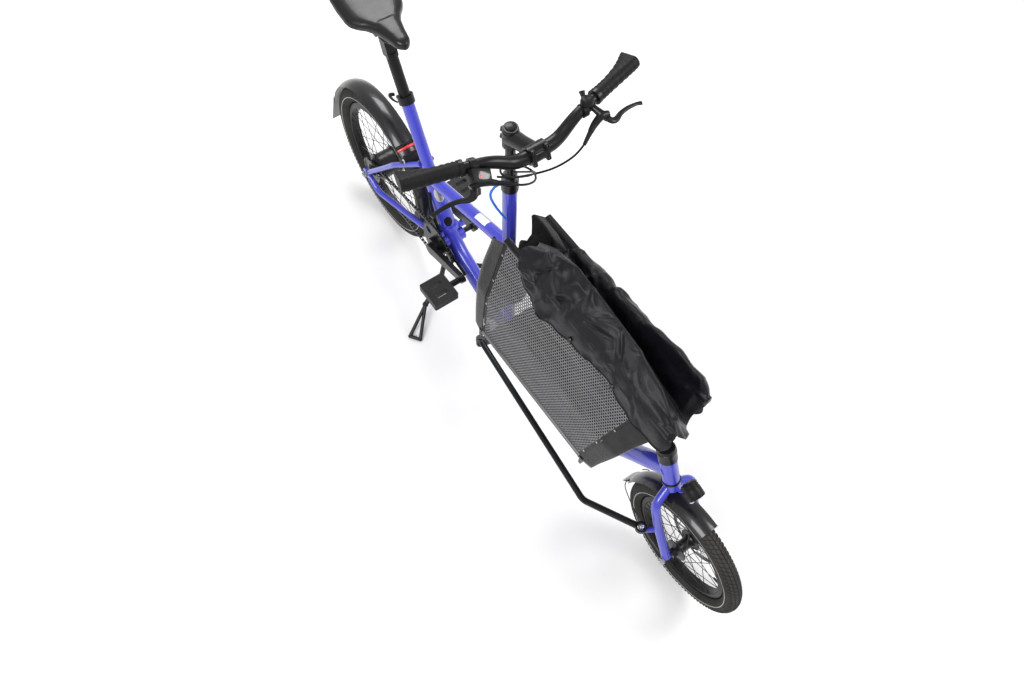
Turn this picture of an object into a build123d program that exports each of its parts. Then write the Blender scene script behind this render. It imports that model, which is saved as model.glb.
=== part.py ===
"""Compact two-wheeled cargo bike with a folding basket ahead of the rider, in millimetres."""

import math
import os

from build123d import *

os.makedirs("parts", exist_ok=True)

# Overall layout. Places are measured from the ground under the rear axle, X forward, Y to the rider's left.
wheelbase = 1456
flap_reach = 312
clearance = 0.3
running_gap = 0.05

# Wheels
rear_radius = 258
rear_tyre_r = 27.5
rear_bead_r = rear_radius - 53
rear_rim_depth = 17
front_radius = 202.5
front_tyre_r = 25
front_bead_r = front_radius - 46.5
front_rim_depth = 15
rim_width = 30
spoke_r = 0.9
spoke_lean = 1.9
axle_r = 6
rear_hub_width = 108
rear_flange_r = 44
rear_flange_y = 30
rear_spoke_pairs = 9
front_hub_width = 86
front_flange_r = 34
front_flange_y = 24
front_spoke_pairs = 8
rotor_r = 80
rotor_y = 37
rotor_thickness = 2

# Drive
bracket_x = 372
bracket_z = 300
bracket_shell_r = 21
bracket_shell_width = 72
spindle_r = 8
crank_length = 170
crank_angle = 18
crank_inner_y = 67
crank_thickness = 14
chainline = 52
chain_pitch = 12.7
chainring_teeth = 38
sprocket_teeth = 20
tooth_gap = 4.5
plate_thickness = 3
chain_width = 7
chain_height = 8
pedal_length = 84
pedal_width = 76
pedal_height = 24
pedal_inner_y = 112
pedal_pin_r = 6
pedal_slot_x = 16
pedal_slot_width = 13

# Frame tubes
seat_tube_r = 17.5
main_tube_r = 24
seat_top = (165, 705)
seat_post_r = 15.8
seat_post_rise = 118
seat_clamp_wall = 5
rail_clamp_place = (88, 866)
saddle_rail_r = 3.5
saddle_z = 884
saddle_height = 40
saddle_rear = (-30, 32, 44)
saddle_wide = (45, 46, 30)
saddle_waist = (70, 50)
saddle_nose = (176, 20)
main_bend = (380, 281)
main_low = (600, 200)
main_rise = (wheelbase - 341, front_radius + 30.5)
upper_tube_r = 18
upper_start = (262, 470)
upper_end = (664, 602)
stay_r = 9
seat_stay_r = 8
stay_knee = (150, 50, rear_radius + 179)
stay_top = (250, 17, 522)
bridge_r = 7
dropout_y = 70
dropout_r = 17
dropout_thickness = 9
axle_overhang = 16

# Steering column: it leans back a little, and its socket runs down through the main tube
column_x = 639
column_x_z = 738
column_lean = 0.045
column_socket_r = 18
column_socket_top = 823
column_socket_bottom = 178
column_r = 14.3
headset_r = 21
headset_height = 28
riser_r = 12
riser_top = 1012
stem_r = 16
stem_clamp_r = 21
stem_clamp_half = 22
lever_ball = (650, -90, 183)
lever_thickness = 10

# Front fork
fork_top = (wheelbase - 162, front_radius + 319.5)
fork_bottom = (wheelbase - 121, front_radius + 234.5)
head_r = 22
fork_steerer_r = 15
blade_r = 12
blade_y = 59
blade_knee = (wheelbase - 99, front_radius + 193.5)
blade_turn = (wheelbase - 64, front_radius + 109.5)
front_ball = (wheelbase - 86, -97, front_radius + 109.5)
rod_bend_place = (wheelbase - 242, -150, 228)
ball_r = 7
ball_gap = 3

# Headlamp
lamp_place = (wheelbase - 64, 0, front_radius + 294.5)
lamp_length = 42
lamp_r = 23

# Handlebar
bar_clamp = (716, 1033)
bar_rise = (700, 130, 1068)
bar_end = (664, 294, 1080)
bar_r = 13
bar_centre_r = 15.9
bar_centre_half = 42
grip_r = 17
grip_start_y = 172
bell_r = 14
bell_height = 14
bell_rise = 38
lever_r = 5
shifter_size = (34, 46, 24)

# Basket, folded: each side turns about a rail at its lower edge
hinge_y = 140
hinge_z = 418
hinge_pin_r = 3
hinge_bead_r = 5.5
floor_rail_y = 122
floor_rail_r = 9
panel_bend = (125, 570)
panel_top = (62, 745)
panel_thickness = 2
top_rail_r = 9
openings_across = 12
openings_up = 3
opening_length = 22
opening_height = 34
panel_low_x = (735, wheelbase - 301)
panel_high_x = (710, wheelbase - 211)
floor_thickness = 3
end_thickness = 34
post_r = 11

# Centre stand
stand_x = 368
stand_z = 192
stand_pin_r = 5
stand_leg_r = 8
stand_knee = (376, 52, 106)
stand_fork = (398, 124, 60)
stand_foot_outer = (440, 212)
stand_foot_inner = (468, 192)
stand_foot_r = 5.5
stand_corner_r = 6

# Fenders
fender_wall = 2.5
fender_crown = 10
rear_fender_r = rear_radius + 15
rear_fender_width = 60
front_fender_r = front_radius + 16.5
front_fender_width = 54
rear_fender_span = (168, -18)
front_fender_span = (172, 82)
flap_width = 50
flap_end_z = 185

# Ring lock
lock_width = 150
lock_reach = 90
lock_gap_width = 112
lock_half_depth = 14

rear_x = -(wheelbase + front_radius - flap_reach) / 2
across = (0, 1, 0)


def spot(x, y, z):
    """A place measured from the ground under the rear axle."""
    return Vector(rear_x + x, y, z)


def between(start, end, share):
    """The place that lies a share of the way from start to end."""
    return start + (end - start) * share


def mirrored(places):
    """The same places on the bike's other side."""
    return [Vector(place.X, -place.Y, place.Z) for place in places]


def add_rod(start, end, radius, mode=Mode.ADD):
    """A straight round bar."""
    with BuildSketch(Plane(origin=start, z_dir=end - start)) as section:
        Circle(radius)
    extrude(section.sketch, amount=(end - start).length, mode=mode)


def add_tube(places, radius, bend, mode=Mode.ADD):
    """A round bar along straight runs joined by bends."""
    with BuildLine() as path:
        FilletPolyline(*places, radius=bend)
    with BuildSketch(Plane(origin=path.line @ 0, z_dir=path.line % 0)) as section:
        Circle(radius)
    sweep(sections=section.sketch, path=path.line, mode=mode)


def add_cross_rod(x, z, radius, low_y, high_y, mode=Mode.ADD):
    """A round bar that lies across the bike."""
    add_rod(spot(x, low_y, z), spot(x, high_y, z), radius, mode)


def wheel_plane(centre, angle=90):
    """A plane through a wheel's axle, with its second direction at an angle above straight ahead."""
    rise = math.radians(angle)
    return Plane(origin=centre, x_dir=across, z_dir=(math.sin(rise), 0, -math.cos(rise)))


def add_tyre(centre, outer, tube, bead):
    """A round tyre, open at its bead."""
    with BuildSketch(wheel_plane(centre)) as section:
        with Locations((0, outer - tube)):
            Circle(tube)
        with Locations((0, bead / 2)):
            Rectangle(4 * tube, bead, mode=Mode.SUBTRACT)
    revolve(section.sketch, axis=Axis(centre, across))


def add_rim(centre, bead, depth):
    """A box rim just inside the tyre's bead."""
    outer = bead - clearance
    with BuildSketch(wheel_plane(centre)) as section:
        with Locations((0, outer - depth / 2)):
            Trapezoid(rim_width, depth, 105, rotation=180)
        fillet(section.vertices(), 2)
    revolve(section.sketch, axis=Axis(centre, across))


def add_spokes(centre, flange_r, flange_y, rim_inner, pairs):
    """Crossed spokes from each side of the hub to the rim."""
    start_r = flange_r + spoke_r + clearance
    end_r = rim_inner - 0.8
    step = 360 / pairs
    for side, turn in ((1, 0), (-1, step / 4)):
        for number in range(pairs):
            for lean in (1, -1):
                rim_angle = math.radians(number * step + turn + lean * step / 8)
                hub_angle = rim_angle + lean * math.radians(62)
                hub_y = side * flange_y + lean * spoke_lean
                start = centre + Vector(start_r * math.cos(hub_angle), hub_y, start_r * math.sin(hub_angle))
                end = centre + Vector(end_r * math.cos(rim_angle), side * 4, end_r * math.sin(rim_angle))
                add_rod(start, end, spoke_r)


def add_fender(centre, radius, width, start_angle, end_angle):
    """A crowned channel over a wheel, from a high angle round to a low one."""
    half = width / 2
    with BuildSketch(wheel_plane(centre, start_angle)) as section:
        with BuildLine():
            outer = ThreePointArc((-half, radius - fender_crown), (0, radius), (half, radius - fender_crown))
            inner = ThreePointArc(
                (-half + fender_wall, radius - fender_crown),
                (0, radius - fender_wall),
                (half - fender_wall, radius - fender_crown),
            )
            Line(outer @ 0, inner @ 0)
            Line(outer @ 1, inner @ 1)
        make_face()
    revolve(section.sketch, axis=Axis(centre, across), revolution_arc=start_angle - end_angle)


def write(piece, name):
    """Label a finished piece and write its file."""
    piece.part.label = name
    export_step(piece.part, "parts/" + name + ".step")


rear_centre = spot(0, 0, rear_radius)
front_centre = spot(wheelbase, 0, front_radius)
bracket = spot(bracket_x, 0, bracket_z)
column_up = Vector(-column_lean, 0, 1).normalized()


def on_column(z):
    """The place on the steering column's axis at a height."""
    return spot(column_x + column_lean * (column_x_z - z), 0, z)


# Main tube: seat tube, low run and rise to the front head tube, with the bottom bracket shell
seat_top_spot = spot(seat_top[0], 0, seat_top[1])
main_bend_spot = spot(main_bend[0], 0, main_bend[1])
main_low_spot = spot(main_low[0], 0, main_low[1])
main_rise_spot = spot(main_rise[0], 0, main_rise[1])
head_middle = spot((fork_top[0] + fork_bottom[0]) / 2, 0, (fork_top[1] + fork_bottom[1]) / 2)
head_top = spot(fork_top[0], 0, fork_top[1])
head_bottom = spot(fork_bottom[0], 0, fork_bottom[1])
fork_down = (head_bottom - head_top).normalized()
seat_joint = between(seat_top_spot, main_bend_spot, 0.62)
with BuildPart() as main_tube:
    add_rod(seat_top_spot, seat_joint, seat_tube_r)
    add_tube([between(seat_top_spot, main_bend_spot, 0.5), main_bend_spot, main_low_spot], main_tube_r, 170)
    add_tube(
        [between(main_bend_spot, main_low_spot, 0.7), main_low_spot, main_rise_spot, head_middle],
        main_tube_r,
        170,
    )
    add_cross_rod(bracket_x, bracket_z, bracket_shell_r, -bracket_shell_width / 2, bracket_shell_width / 2)
    stand_bracket_top = bracket_z - bracket_shell_r / 2
    with BuildSketch(Plane.XZ.offset(-stand_leg_r - 6)) as stand_bracket:
        with Locations((rear_x + stand_x, (stand_z + stand_bracket_top) / 2)):
            Rectangle(24, stand_bracket_top - stand_z)
        with Locations((rear_x + stand_x, stand_z)):
            Circle(12)
    extrude(stand_bracket.sketch, amount=2 * (stand_leg_r + 6))
    add_cross_rod(stand_x, stand_z, stand_pin_r, -34, 34)
    add_rod(head_top, head_bottom, head_r)
    add_cross_rod(
        bracket_x,
        bracket_z,
        spindle_r + running_gap,
        -bracket_shell_width,
        bracket_shell_width,
        Mode.SUBTRACT,
    )
    add_rod(head_top, head_bottom, fork_steerer_r + running_gap, Mode.SUBTRACT)
    add_rod(
        on_column(column_socket_bottom - 30),
        on_column(main_low[1] + 90),
        column_socket_r + clearance,
        Mode.SUBTRACT,
    )
write(main_tube, "main_tube")

# Socket of the steering column, through the main tube
with BuildPart() as column_socket:
    add_rod(on_column(column_socket_bottom), on_column(column_socket_top), column_socket_r)
    add_rod(
        on_column(column_socket_bottom - 5),
        on_column(column_socket_top + 5),
        column_r + running_gap,
        Mode.SUBTRACT,
    )
write(column_socket, "column_socket")

# Upper tube between the seat tube and the column socket
upper_start_spot = spot(upper_start[0], 0, upper_start[1])
upper_end_spot = spot(upper_end[0], 0, upper_end[1])
with BuildPart() as upper_tube:
    add_rod(upper_start_spot, upper_end_spot, upper_tube_r)
    add_rod(
        between(seat_top_spot, main_bend_spot, 0.3),
        between(seat_top_spot, main_bend_spot, 0.9),
        main_tube_r + clearance,
        Mode.SUBTRACT,
    )
    add_rod(
        on_column(upper_end[1] - 120),
        on_column(upper_end[1] + 120),
        column_socket_r + clearance,
        Mode.SUBTRACT,
    )
    upper_pieces = upper_tube.solids().sort_by(SortBy.VOLUME)
with BuildPart() as upper_tube:
    add(upper_pieces[-1])
write(upper_tube, "upper_tube")

# Rear stays and dropouts, with the fixed axle
def seat_stay_line(side):
    """The seat stay's corners on one side, from the dropout up to the seat tube."""
    return [
        spot(0, side * dropout_y, rear_radius),
        spot(stay_knee[0], side * stay_knee[1], stay_knee[2]),
        spot(stay_top[0], side * stay_top[1], stay_top[2]),
    ]


knee_reach = math.hypot(stay_knee[0], stay_knee[2] - rear_radius)
top_reach = math.hypot(stay_top[0], stay_top[2] - rear_radius)
with BuildPart() as rear_stays:
    for side in (1, -1):
        dropout = spot(0, side * dropout_y, rear_radius)
        chain_stay = [
            dropout,
            spot(60, side * (dropout_y - 1), rear_radius - 32),
            spot(bracket_x - 97, side * 42, bracket_z - 22),
            spot(bracket_x - 24, side * 24, bracket_z - 2),
        ]
        add_tube(seat_stay_line(side), seat_stay_r, 60)
        add_tube(chain_stay, stay_r, 40)
        dropout_face = side * (dropout_y + dropout_thickness / 2)
        axle_end = side * (dropout_y + axle_overhang)
        add_cross_rod(0, rear_radius, dropout_r + 3, dropout_face, axle_end, Mode.SUBTRACT)
        with Locations(Plane(origin=dropout, z_dir=across)):
            Cylinder(dropout_r, dropout_thickness)
    add_cross_rod(0, rear_radius, axle_r, -dropout_y - axle_overhang, dropout_y + axle_overhang)
    bridge_share = (rear_fender_r + bridge_r + clearance - knee_reach) / (top_reach - knee_reach)
    bridge = between(seat_stay_line(0)[1], seat_stay_line(0)[2], bridge_share)
    bridge_half = stay_knee[1] + (stay_top[1] - stay_knee[1]) * bridge_share
    add_rod(bridge - Vector(0, bridge_half, 0), bridge + Vector(0, bridge_half, 0), bridge_r)
    add_rod(seat_top_spot, seat_joint, seat_tube_r + clearance, Mode.SUBTRACT)
    add(main_tube.part, mode=Mode.SUBTRACT)
write(rear_stays, "rear_stays")

# Seat clamp, suspension post and saddle
seat_up = (seat_top_spot - main_bend_spot).normalized()
with BuildPart() as seat_clamp:
    add_rod(seat_top_spot - seat_up * 20, seat_top_spot + seat_up * 2, seat_tube_r + seat_clamp_wall)
    with Locations(Plane(origin=seat_top_spot - seat_up * 9 - Vector(24, 0, 10), z_dir=across)):
        Cylinder(6, 28)
    add_rod(seat_top_spot - seat_up * 25, seat_top_spot + seat_up * 5, seat_tube_r + clearance, Mode.SUBTRACT)
write(seat_clamp, "seat_clamp")

post_top = seat_top_spot + seat_up * seat_post_rise
rail_clamp = spot(rail_clamp_place[0], 0, rail_clamp_place[1])
linkage_half = 15
with BuildPart() as seat_post:
    add_rod(seat_top_spot + seat_up * clearance, post_top, seat_post_r)
    with BuildSketch(Plane.XZ.offset(-linkage_half)) as linkage:
        with BuildLine():
            Polyline(
                (post_top.X - 16, post_top.Z - 10),
                (post_top.X + 14, post_top.Z - 4),
                (rail_clamp.X + 17, rail_clamp.Z - 8),
                (rail_clamp.X + 13, rail_clamp.Z + 6),
                (rail_clamp.X - 18, rail_clamp.Z + 6),
                (post_top.X - 22, post_top.Z + 8),
                close=True,
            )
        make_face()
    extrude(linkage.sketch, amount=2 * linkage_half)
    for side in (1, -1):
        add_tube(
            [
                spot(-30, side * 24, saddle_z - clearance),
                spot(20, side * 23, rail_clamp.Z + 4),
                spot(120, side * 22, rail_clamp.Z + 4),
                spot(165, side * 8, saddle_z - clearance),
            ],
            saddle_rail_r,
            20,
        )
    add_rod(rail_clamp + Vector(0, -28, 4), rail_clamp + Vector(0, 28, 4), 9)
    with Locations(Plane.XY.offset(saddle_z - clearance + 50)):
        Box(2000, 400, 100, mode=Mode.SUBTRACT)
write(seat_post, "seat_post")

with BuildPart() as saddle:
    with BuildSketch(Plane.XY.offset(saddle_z)) as saddle_outline:
        for x, y, radius in (saddle_rear, saddle_wide):
            with Locations((rear_x + x, y), (rear_x + x, -y)):
                Circle(radius)
        make_hull()
        with BuildSketch(mode=Mode.PRIVATE) as front_outline:
            for x, radius in (saddle_waist, saddle_nose):
                with Locations((rear_x + x, 0)):
                    Circle(radius)
            make_hull()
        add(front_outline.sketch)
    extrude(amount=saddle_height)
    fillet(saddle.faces().sort_by(Axis.Z)[-1].edges(), 14)
write(saddle, "saddle")

# Rear fender with its flap, and the ring lock that stands between the seat stays
with BuildPart() as rear_fender:
    add_fender(rear_centre, rear_fender_r, rear_fender_width, *rear_fender_span)
    flap_rise = math.radians(rear_fender_span[0])
    flap_top = rear_centre + Vector(math.cos(flap_rise), 0, math.sin(flap_rise)) * (rear_fender_r - 2)
    with BuildSketch(Plane.XZ.offset(-flap_width / 2)) as flap:
        with BuildLine():
            Polyline(
                (flap_top.X, flap_top.Z + 6),
                (flap_top.X - 5, flap_top.Z + 6),
                (rear_x - flap_reach, flap_end_z),
                (rear_x - flap_reach + 3, flap_end_z),
                close=True,
            )
        make_face()
    extrude(flap.sketch, amount=flap_width)
write(rear_fender, "rear_fender")

lock_angle = math.atan2(stay_knee[2] - rear_radius, stay_knee[0])
with BuildPart() as ring_lock:
    with BuildSketch(wheel_plane(rear_centre, math.degrees(lock_angle))) as lock_outline:
        with Locations((0, rear_fender_r - 14)):
            RectangleRounded(lock_width, lock_reach, 30)
        with Locations((0, rear_fender_r - 40)):
            Rectangle(lock_gap_width, lock_gap_width + 2, mode=Mode.SUBTRACT)
    extrude(lock_outline.sketch, amount=lock_half_depth, both=True)
    for side in (1, -1):
        add_tube(seat_stay_line(side), seat_stay_r + clearance, 60, Mode.SUBTRACT)
write(ring_lock, "ring_lock")

# Chain: one fixed loop round the chainring and the sprocket
chainring_pitch_r = chain_pitch / (2 * math.sin(math.pi / chainring_teeth))
sprocket_pitch_r = chain_pitch / (2 * math.sin(math.pi / sprocket_teeth))
with BuildPart() as chain:
    for growth, mode in ((chain_height / 2, Mode.ADD), (-chain_height / 2, Mode.SUBTRACT)):
        with BuildSketch(Plane.XZ.offset(chainline)) as loop:
            with Locations((rear_centre.X, rear_centre.Z)):
                Circle(sprocket_pitch_r + growth)
            with Locations((bracket.X, bracket.Z)):
                Circle(chainring_pitch_r + growth)
            make_hull()
        extrude(loop.sketch, amount=chain_width / 2, both=True, mode=mode)
write(chain, "chain")

# Rear wheel
with BuildPart() as rear_tyre:
    add_tyre(rear_centre, rear_radius, rear_tyre_r, rear_bead_r)
write(rear_tyre, "rear_tyre")

with BuildPart() as rear_rim:
    add_rim(rear_centre, rear_bead_r, rear_rim_depth)
write(rear_rim, "rear_rim")

with BuildPart() as rear_spokes:
    rear_rim_inner = rear_bead_r - clearance - rear_rim_depth
    add_spokes(rear_centre, rear_flange_r, rear_flange_y, rear_rim_inner, rear_spoke_pairs)
write(rear_spokes, "rear_spokes")

with BuildPart() as rear_hub:
    hub_half = rear_hub_width / 2
    with BuildSketch(wheel_plane(rear_centre)) as hub_section:
        with BuildLine():
            Polyline(
                (-hub_half - 6, axle_r + running_gap),
                (-hub_half - 6, 14),
                (-hub_half, 22),
                (-rear_flange_y - 2, 38),
                (-rear_flange_y - 2, rear_flange_r),
                (-rear_flange_y + 2, rear_flange_r),
                (-rear_flange_y + 2, 40),
                (rear_flange_y - 2, 40),
                (rear_flange_y - 2, rear_flange_r),
                (rear_flange_y + 2, rear_flange_r),
                (rear_flange_y + 2, 38),
                (hub_half, 22),
                (hub_half + 6, 14),
                (hub_half + 6, axle_r + running_gap),
                close=True,
            )
        make_face()
        with Locations((-chainline, (sprocket_pitch_r - tooth_gap + 14) / 2)):
            Rectangle(plate_thickness, sprocket_pitch_r - tooth_gap - 14)
    revolve(hub_section.sketch, axis=Axis(rear_centre, across))
write(rear_hub, "rear_hub")

# Crankset and pedals
crank_rise = math.radians(crank_angle)
crank_reach = Vector(math.cos(crank_rise), 0, math.sin(crank_rise)) * crank_length
crank_outer_y = crank_inner_y + crank_thickness
pedal_outer_y = pedal_inner_y + pedal_width
with BuildPart() as crankset:
    add_cross_rod(bracket_x, bracket_z, spindle_r, -crank_outer_y, crank_outer_y)
    add_cross_rod(bracket_x, bracket_z, 30, -crank_inner_y - 1, -chainline + plate_thickness / 2)
    with BuildSketch(Plane.XZ.offset(chainline)) as ring_outline:
        with Locations((bracket.X, bracket.Z)):
            Circle(chainring_pitch_r - tooth_gap)
            with PolarLocations(52, 5):
                Circle(13, mode=Mode.SUBTRACT)
    extrude(ring_outline.sketch, amount=plate_thickness / 2, both=True)
    for side in (1, -1):
        tip = bracket - crank_reach * side
        middle = crank_inner_y + crank_thickness / 2
        with BuildSketch(Plane.XZ.offset(-side * middle)) as arm:
            with Locations((bracket.X, bracket.Z)):
                Circle(18)
            with Locations((tip.X, tip.Z)):
                Circle(13)
            make_hull()
        extrude(arm.sketch, amount=crank_thickness / 2, both=True)
        pin_end_y = pedal_outer_y - 4
        add_cross_rod(tip.X - rear_x, tip.Z, pedal_pin_r, side * (crank_outer_y - 2), side * pin_end_y)
write(crankset, "crankset")

for side, name in ((1, "left_pedal"), (-1, "right_pedal")):
    tip = bracket - crank_reach * side
    with BuildPart() as pedal:
        with Locations(Pos(tip.X, side * (pedal_inner_y + pedal_width / 2), tip.Z)):
            Box(pedal_length, pedal_width, pedal_height)
            with Locations((pedal_slot_x, 0, 0), (-pedal_slot_x, 0, 0)):
                Box(pedal_slot_width, pedal_width / 2, 2 * pedal_height, mode=Mode.SUBTRACT)
        fillet(pedal.edges().filter_by(Axis.Z).group_by(SortBy.LENGTH)[-1], 4)
        add_cross_rod(tip.X - rear_x, tip.Z, 9, side * (crank_outer_y + 2), side * (pedal_inner_y + 4))
        add_cross_rod(
            tip.X - rear_x,
            tip.Z,
            pedal_pin_r + running_gap,
            side * (crank_outer_y - 4),
            side * (pedal_outer_y - 3),
            Mode.SUBTRACT,
        )
    write(pedal, name)

# Steering column: steerer, headset and riser with its cap
with BuildPart() as steering_column:
    add_rod(on_column(column_socket_bottom - 21), on_column(column_socket_top + 2), column_r)
    headset_top = column_socket_top + headset_height
    add_rod(on_column(column_socket_top + clearance), on_column(headset_top), headset_r)
    add_rod(on_column(headset_top), on_column(headset_top + 21), 17)
    add_rod(on_column(headset_top + 12), on_column(riser_top), riser_r)
    add_rod(on_column(riser_top - 14), on_column(riser_top + 12), 17)
write(steering_column, "steering_column")

clamp_centre = spot(bar_clamp[0], 0, bar_clamp[1])
with BuildPart() as stem:
    stem_root = on_column(riser_top - 22)
    add_rod(stem_root - column_up * 20, stem_root + column_up * 20, 18)
    add_rod(stem_root, clamp_centre, stem_r)
    clamp_end = Vector(0, stem_clamp_half, 0)
    add_rod(clamp_centre - clamp_end, clamp_centre + clamp_end, stem_clamp_r)
    hole_end = clamp_end * 2
    add_rod(clamp_centre - hole_end, clamp_centre + hole_end, bar_centre_r + clearance, Mode.SUBTRACT)
    add_rod(on_column(riser_top - 90), on_column(riser_top + 40), riser_r + clearance, Mode.SUBTRACT)
    add(steering_column.part, mode=Mode.SUBTRACT)
write(stem, "stem")

bar_half = [
    spot(bar_clamp[0], 0, bar_clamp[1]),
    spot(bar_clamp[0] - 2, 55, bar_clamp[1] + 2),
    spot(*bar_rise),
    spot(*bar_end),
]
bar_places = mirrored(bar_half[:0:-1]) + bar_half[1:]
bar_tip = bar_half[-1]
grip_start = between(bar_half[-2], bar_tip, (grip_start_y - bar_rise[1]) / (bar_end[1] - bar_rise[1]))
with BuildPart() as handlebar:
    add_tube(bar_places, bar_r, 70)
    centre_end = Vector(0, bar_centre_half, 0)
    add_rod(clamp_centre - centre_end, clamp_centre + centre_end, bar_centre_r)
write(handlebar, "handlebar")

bar_out = (bar_tip - bar_half[-2]).normalized()
with BuildPart() as grips:
    for start, end in ([grip_start, bar_tip + bar_out * 6], mirrored([grip_start, bar_tip + bar_out * 6])):
        add_rod(start, end, grip_r)
    add_tube(bar_places, bar_r + clearance, 70, Mode.SUBTRACT)
write(grips, "grips")

lever_seat = between(bar_half[-2], bar_tip, 0.12)
lever_places = [
    lever_seat + Vector(26, 2, -6),
    lever_seat + Vector(52, 22, -22),
    lever_seat + Vector(58, 60, -36),
    lever_seat + Vector(48, 118, -52),
]
with BuildPart() as brake_levers:
    for route, seat in ((lever_places, lever_seat), (mirrored(lever_places), mirrored([lever_seat])[0])):
        out = bar_out if seat.Y > 0 else mirrored([bar_out])[0]
        add_rod(seat - out * 9, seat + out * 9, bar_r + 6)
        add_rod(seat, route[0], 8)
        add_tube([seat] + route, lever_r, 12)
    add_tube(bar_places, bar_r + clearance, 70, Mode.SUBTRACT)
write(brake_levers, "brake_levers")

shifter_seat = mirrored([between(bar_half[1], bar_half[2], 0.82)])[0]
shifter_out = (shifter_seat - mirrored([bar_half[1]])[0]).normalized()
with BuildPart() as shifter:
    add_rod(shifter_seat - shifter_out * 11, shifter_seat + shifter_out * 11, bar_r + 7)
    with Locations(shifter_seat + Vector(16, 4, -8)):
        Box(*shifter_size)
    add_tube(bar_places, bar_r + clearance, 70, Mode.SUBTRACT)
write(shifter, "shifter")

bell_seat = between(bar_half[1], bar_half[2], 0.9)
bell_out = (bell_seat - bar_half[1]).normalized()
with BuildPart() as bell:
    add_rod(bell_seat - bell_out * 5, bell_seat + bell_out * 5, bar_r + 5)
    bell_top = bell_seat + Vector(-4, 0, bell_rise)
    add_rod(bell_seat, bell_top - Vector(0, 0, 2), 7)
    add_rod(bell_top - Vector(0, 0, bell_height), bell_top, bell_r)
    add_tube(bar_places, bar_r + clearance, 70, Mode.SUBTRACT)
write(bell, "bell")

# Steering lever under the column, with the stud that carries the rod
rod_axis = Vector(-0.035, 0.049, 1).normalized()
lever_ball_spot = spot(*lever_ball)
lever_root = on_column(column_socket_bottom - 15)
lever_middle_z = lever_root.Z
with BuildPart() as steering_lever:
    add_rod(on_column(column_socket_bottom - 22), on_column(column_socket_bottom - clearance), 23)
    with BuildSketch(Plane.XY.offset(lever_middle_z - lever_thickness / 2)) as lever_outline:
        with Locations((lever_root.X, lever_root.Y)):
            Circle(20)
        with Locations((lever_ball_spot.X, lever_ball_spot.Y)):
            Circle(12)
        make_hull()
    extrude(lever_outline.sketch, amount=lever_thickness)
    add_rod(lever_ball_spot - rod_axis * 18, lever_ball_spot + rod_axis * 11, 5)
    add_rod(
        on_column(column_socket_bottom - 40),
        on_column(column_socket_bottom + 5),
        column_r + clearance,
        Mode.SUBTRACT,
    )
write(steering_lever, "steering_lever")

# Steering rod on the rider's right, bent outwards beside the front wheel
front_ball_spot = spot(*front_ball)
rod_bend = spot(*rod_bend_place)
rear_run = (rod_bend - lever_ball_spot).normalized()
front_run = (front_ball_spot - rod_bend).normalized()
with BuildPart() as steering_rod:
    add_tube([lever_ball_spot + rear_run * 10, rod_bend, front_ball_spot - front_run * 13], 9, 45)
    add_rod(lever_ball_spot - rod_axis * 7, lever_ball_spot + rod_axis * 7, 13)
    add_rod(front_ball_spot - rod_axis * 6, front_ball_spot + rod_axis * 6, ball_r + ball_gap + 5)
    add_rod(lever_ball_spot - rod_axis * 20, lever_ball_spot + rod_axis * 20, 5 + running_gap, Mode.SUBTRACT)
    eye_end = rod_axis * 30
    add_rod(front_ball_spot - eye_end, front_ball_spot + eye_end, ball_r + ball_gap, Mode.SUBTRACT)
write(steering_rod, "steering_rod")

# Fork with its fixed axle and the ball stud for the rod
crown = head_bottom + fork_down * 16
lamp_centre = spot(*lamp_place)
lamp_back = lamp_centre - Vector(lamp_length / 2, 0, 0)
lamp_front = lamp_centre + Vector(lamp_length / 2, 0, 0)
with BuildPart() as fork:
    add_rod(head_top - fork_down * 8, crown, fork_steerer_r)
    add_rod(head_bottom + fork_down * clearance, head_bottom + fork_down * 26, head_r)
    add_rod(head_top - fork_down * 12, head_top - fork_down * clearance, head_r)
    for side in (1, -1):
        add_tube(
            [
                crown + Vector(0, side * 6, 0),
                spot(blade_knee[0], side * blade_y, blade_knee[1]),
                spot(blade_turn[0], side * blade_y, blade_turn[1]),
                spot(wheelbase - 2, side * blade_y, front_radius + 4),
            ],
            blade_r,
            34,
        )
    add_cross_rod(wheelbase, front_radius, axle_r, -blade_y - 18, blade_y + 18)
    fender_share = 1 - (front_fender_r + clearance) / (crown - front_centre).length
    add_rod(crown, between(crown, front_centre, fender_share), 5)
    stud_foot = front_ball_spot - rod_axis * 18
    add_rod(stud_foot, front_ball_spot, 4)
    with Locations(front_ball_spot):
        Sphere(ball_r)
    add_rod(stud_foot, spot(wheelbase - 59, -blade_y, front_radius + 93.5), 7)
    add_tube([crown, crown + Vector(30, 0, 7), lamp_centre], 4, 8)
    add_rod(lamp_back, lamp_front, lamp_r + clearance, Mode.SUBTRACT)
write(fork, "fork")

with BuildPart() as front_fender:
    add_fender(front_centre, front_fender_r, front_fender_width, *front_fender_span)
write(front_fender, "front_fender")

with BuildPart() as headlamp:
    add_rod(lamp_back, lamp_front, lamp_r)
write(headlamp, "headlamp")

# Front wheel
with BuildPart() as front_tyre:
    add_tyre(front_centre, front_radius, front_tyre_r, front_bead_r)
write(front_tyre, "front_tyre")

with BuildPart() as front_rim:
    add_rim(front_centre, front_bead_r, front_rim_depth)
write(front_rim, "front_rim")

with BuildPart() as front_spokes:
    front_rim_inner = front_bead_r - clearance - front_rim_depth
    add_spokes(front_centre, front_flange_r, front_flange_y, front_rim_inner, front_spoke_pairs)
write(front_spokes, "front_spokes")

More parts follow.
